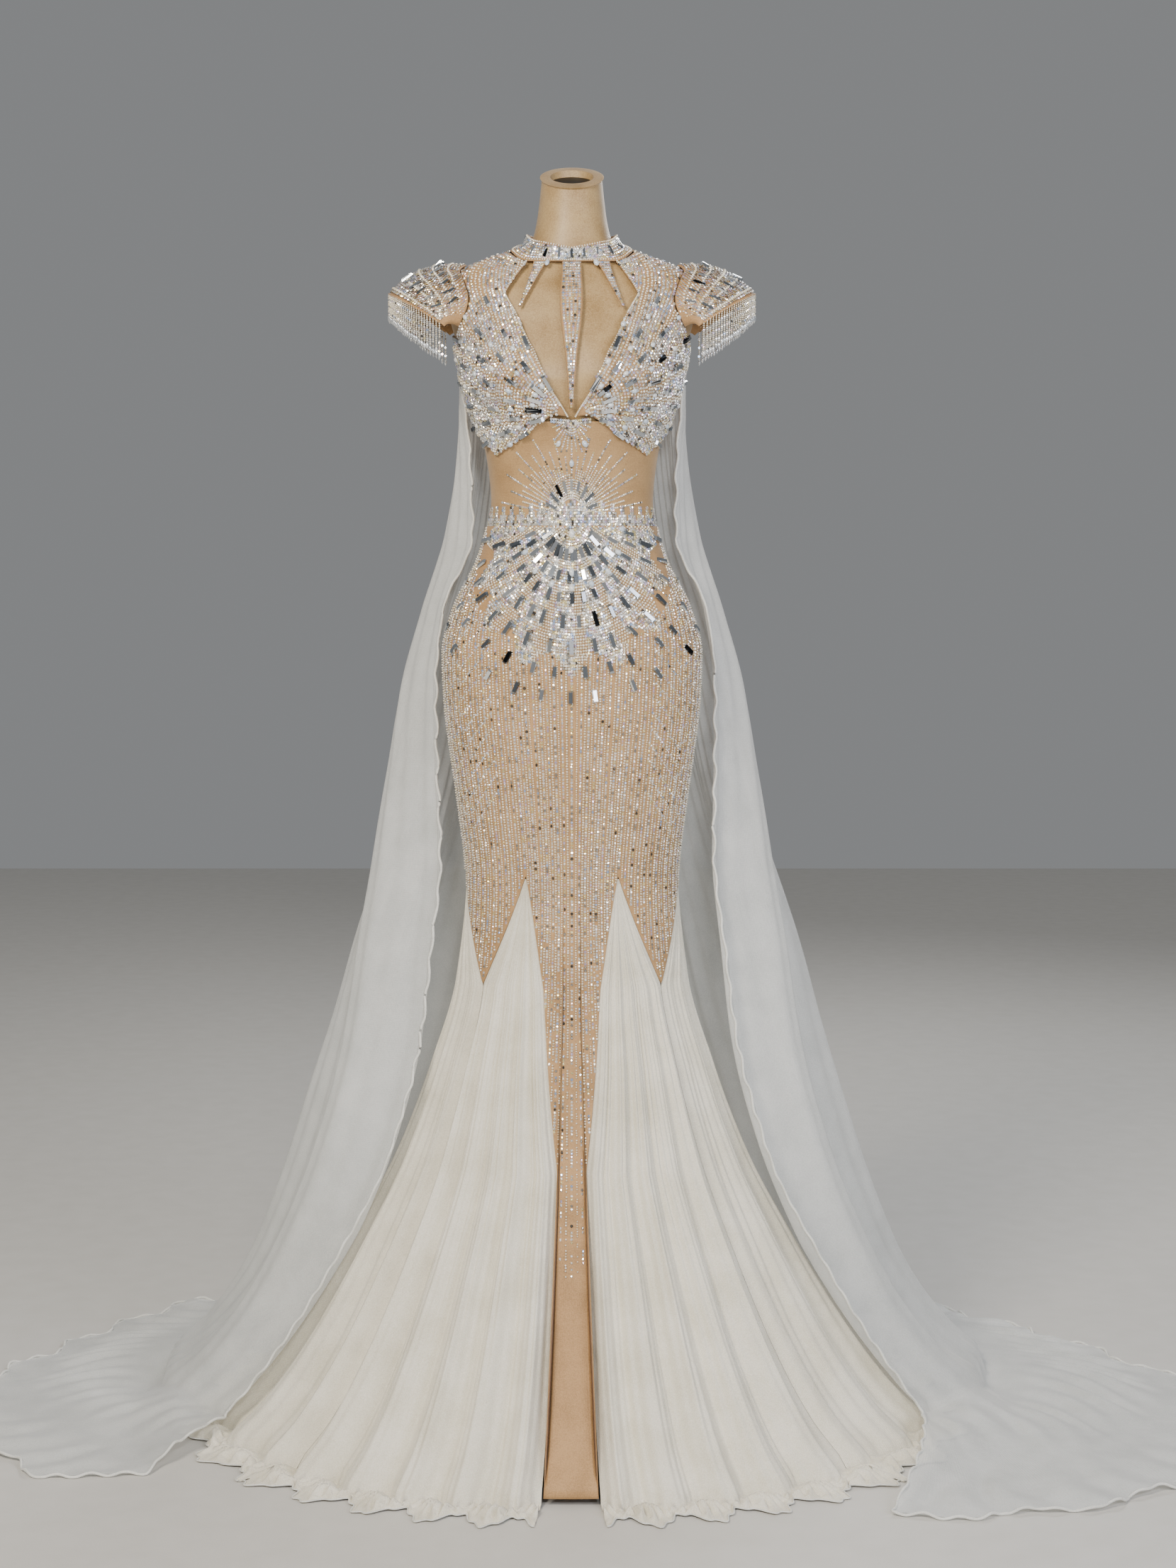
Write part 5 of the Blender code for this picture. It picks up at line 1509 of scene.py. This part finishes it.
@dataclass
class Cape:
    """The long organza cape, from the back of the collar to its train."""

    half: int = 230
    ripple_count: int = 31
    ripple_depth: float = 0.0040

    def wave(self, t: Array, hand: int) -> Array:
        """Folds of uneven width, from the middle of the back to the front edge."""
        phase = 0.9 if hand > 0 else 0.0
        return 0.5 - 0.5 * np.cos(2 * np.pi * CAPE_WAVES * (t + 0.05 * np.sin(5 * t + phase)))

    def fine(self, t: Array, height: Array) -> Array:
        """Fine long folds on the broad ones."""
        return 0.5 + 0.5 * np.sin(2 * np.pi * self.ripple_count * t + 2.6 * np.sin(11 * t) + 1.2 * height)

    def column_block(self, t: Array, hand: int) -> Array:
        """All points of one half.

        Args:
            t: Shares from the middle of the back to the front edge.
            hand: -1 or 1.

        Returns:
            Points by row and column.
        """
        rows = []
        stops = np.arange(len(CAPE_SHOULDER))
        for k in np.linspace(0, len(stops) - 1, 26):
            bearing, height, out = (np.interp(k, stops, [r[c] for r in CAPE_SHOULDER]) for c in (0, 1, 2))
            soft = 0.0020 * self.fine(t, 1.5) * min(1.0, k / 2)
            rows.append(BODY.skin(hand * mix(180, bearing, t), np.full_like(t, height), out + soft))
        curves = [Curve(CAPE_ROWS[:, 0], CAPE_ROWS[:, k]) for k in range(1, 7)]
        for height in np.linspace(1.41, 0.036, 130):
            ex, ey, sx, sy, by, fold = (float(c.at(height)) for c in curves)
            edge_b, side_b = math.degrees(math.atan2(ex, -ey)), math.degrees(math.atan2(sx, -sy))
            bearing = mix(180, edge_b, t)
            radius = Curve([edge_b, side_b, 180], [math.hypot(ex, ey), math.hypot(sx, sy), by]).at(bearing)
            depth = max(0.0, (GODET_TOP - height) / GODET_TOP)
            least = BODY.radius(bearing, np.full_like(bearing, height)) + 0.030 * depth ** 1.2
            least = least + 0.010 * depth + 0.0016 + CAPE_CLEAR
            radius = np.maximum(radius - fold, least) + 2 * fold * self.wave(t, hand)
            radius = radius + self.ripple_depth * self.fine(t, height) * min(1.0, (1.45 - height) * 4)
            rows.append(around(hand * bearing, radius, np.full_like(t, height)))
        foot = rows[-1]
        table = TRAIN_RIGHT if hand > 0 else TRAIN_LEFT
        edge = table[0][0]
        start_b = np.degrees(np.arctan2(np.abs(foot[:, 0]), -foot[:, 1]))
        start_r = np.hypot(foot[:, 0], foot[:, 1])
        end = table_curve(table).at(mix(180, edge, t)) + 0.012 * np.sin(2 * np.pi * 2.5 * CAPE_WAVES * t)
        for share in np.linspace(0, 1, 46)[1:]:
            bearing = mix(start_b, mix(180, edge, t), share ** 0.8)
            radius = mix(start_r, end, share)
            beyond = radius - oval(bearing, *HEM_OVAL) - 0.020
            low = np.clip(beyond / 0.060, 0, 1)
            ripple = 0.010 * self.wave(t, hand) * (1.15 - share)
            crumple = 0.007 * self.fine(t + 0.02 * math.sin(6 * share), share)
            crumple = crumple * (0.5 + 0.5 * np.sin(9 * share + 14 * t))
            level = mix(CAPE_OVER_HEM, CAPE_FLOOR, low) + ripple + crumple * min(1.0, 4 * share)
            rows.append(around(hand * bearing, radius, level))
        return np.stack(rows)

    def build(self) -> None:
        """Makes the cape and its rolled, wavy edge."""
        t = np.linspace(0, 1, self.half)
        right, left = self.column_block(t, 1), self.column_block(t, -1)
        grid = np.concatenate([right[:, ::-1], left[:, 1:]], axis=1)
        cape = settle(shell("cape_organza_sheet", grid, False, 0.0), "cape", ORGANZA)
        rim = np.concatenate([grid[20:, 0], grid[-1, 1:-1], grid[20:, -1][::-1]])
        steps = np.concatenate([[0], np.cumsum(np.linalg.norm(np.diff(rim, axis=0), axis=1))])
        walk = np.arange(0, steps[-1], 0.004)
        path = np.stack([np.interp(walk, steps, rim[:, k]) for k in range(3)], -1)
        side = unit(np.cross(np.gradient(path, axis=0), np.array([0.0, 0.0, 1.0])) + 1e-9)
        path = path + side * (0.0019 * np.sin(walk * 2 * np.pi / 0.048))[:, None]
        path[:, 2] = np.maximum(path[:, 2] + 0.0020 * np.sin(walk * 2 * np.pi / 0.043), 0.0022)
        roll = settle(sweep("cape_rolled_edge", path, 0.0019, 6), None, ROLLED_HEM)


@dataclass
class Studio:
    """The pale floor, the soft lights and the camera."""

    eye: tuple = (0.021, -3.3, 1.17)
    pitch_down: float = 5.22
    focal_px: float = 3500.0
    frame_px: float = 2212.0

    def lamp(self, name: str, place: tuple, aim: tuple, size: float, power: float, colour: str) -> None:
        """Adds a square soft light.

        Args:
            name: Its name.
            place: Where it stands.
            aim: What it points at.
            size: Its side.
            power: Watts.
            colour: Its hex colour.
        """
        light = bpy.data.lights.new(name, "AREA")
        light.size, light.energy, light.color = size, power, linear(colour)[:3]
        lamp = bpy.data.objects.new(name, light)
        bpy.context.scene.collection.objects.link(lamp)
        lamp.location = place
        from_to = np.array(aim) - np.array(place)
        flat = math.hypot(from_to[0], from_to[1])
        lamp.rotation_euler = (math.atan2(flat, -from_to[2]), 0.0,
                               math.atan2(from_to[1], from_to[0]) - math.pi / 2)

    def build(self) -> None:
        """Sets up the floor, the world, the lights and the camera."""
        floor = plain_mesh("floor", np.array([(-6, -6, 0), (6, -6, 0), (6, 6, 0), (-6, 6, 0)]),
                           [(0, 1, 2, 3)])
        floor.data.uv_layers.new(name="cloth")
        floor.data.materials.append(Cloth("painted_floor_pale", "#d9d7d2", "#d2d0ca", 0.7,
                                          relief=0.0).material())
        world = bpy.data.worlds.new("studio")
        world.use_nodes = True
        world.node_tree.nodes["Background"].inputs[0].default_value = linear("#b4b6b8")
        world.node_tree.nodes["Background"].inputs[1].default_value = 0.50
        bpy.context.scene.world = world
        self.lamp("key", (-1.6, -3.0, 3.2), (0, 0, 1.0), 1.1, 135, "#fff4e4")
        self.lamp("fill", (2.2, -2.6, 1.8), (0, 0, 0.9), 1.6, 52, "#f3f4ff")
        self.lamp("rim", (1.2, 2.6, 2.8), (0, 0, 1.0), 1.2, 45, "#ffffff")
        self.lamp("glint", (0.3, -3.2, 1.9), (0, 0, 1.2), 0.35, 34, "#ffffff")
        data = bpy.data.cameras.new("camera")
        data.sensor_fit, data.sensor_width, data.sensor_height = "AUTO", 36.0, 36.0
        data.lens = self.focal_px / self.frame_px * 36.0
        camera = bpy.data.objects.new("camera", data)
        bpy.context.scene.collection.objects.link(camera)
        camera.location = self.eye
        camera.rotation_euler = (math.radians(90 - self.pitch_down), 0.0, 0.0)
        bpy.context.scene.camera = camera
        log.info("studio")


def main() -> None:
    """Builds every part of the scene in order."""
    logging.basicConfig(level=logging.INFO, format="%(message)s")
    Studio().build()
    tree = stringing_tree()
    DressForm().build()
    Collar(tree).build()
    bodice = Bodice(tree)
    bodice.build()
    Skirt(tree).build()
    Linings().build()
    for side, hand in (("left", -1), ("right", 1)):
        CapSleeve(tree, bodice, side, hand).build()
        for row in (("front", 34, GORE_HALF, 60, 5), ("side", 90, 60, 120, 5), ("back", 150, 120, 180, 4)):
            Godet(*row, side=side, hand=hand).build()
    Cape().build()


if __name__ == "__main__":
    main()
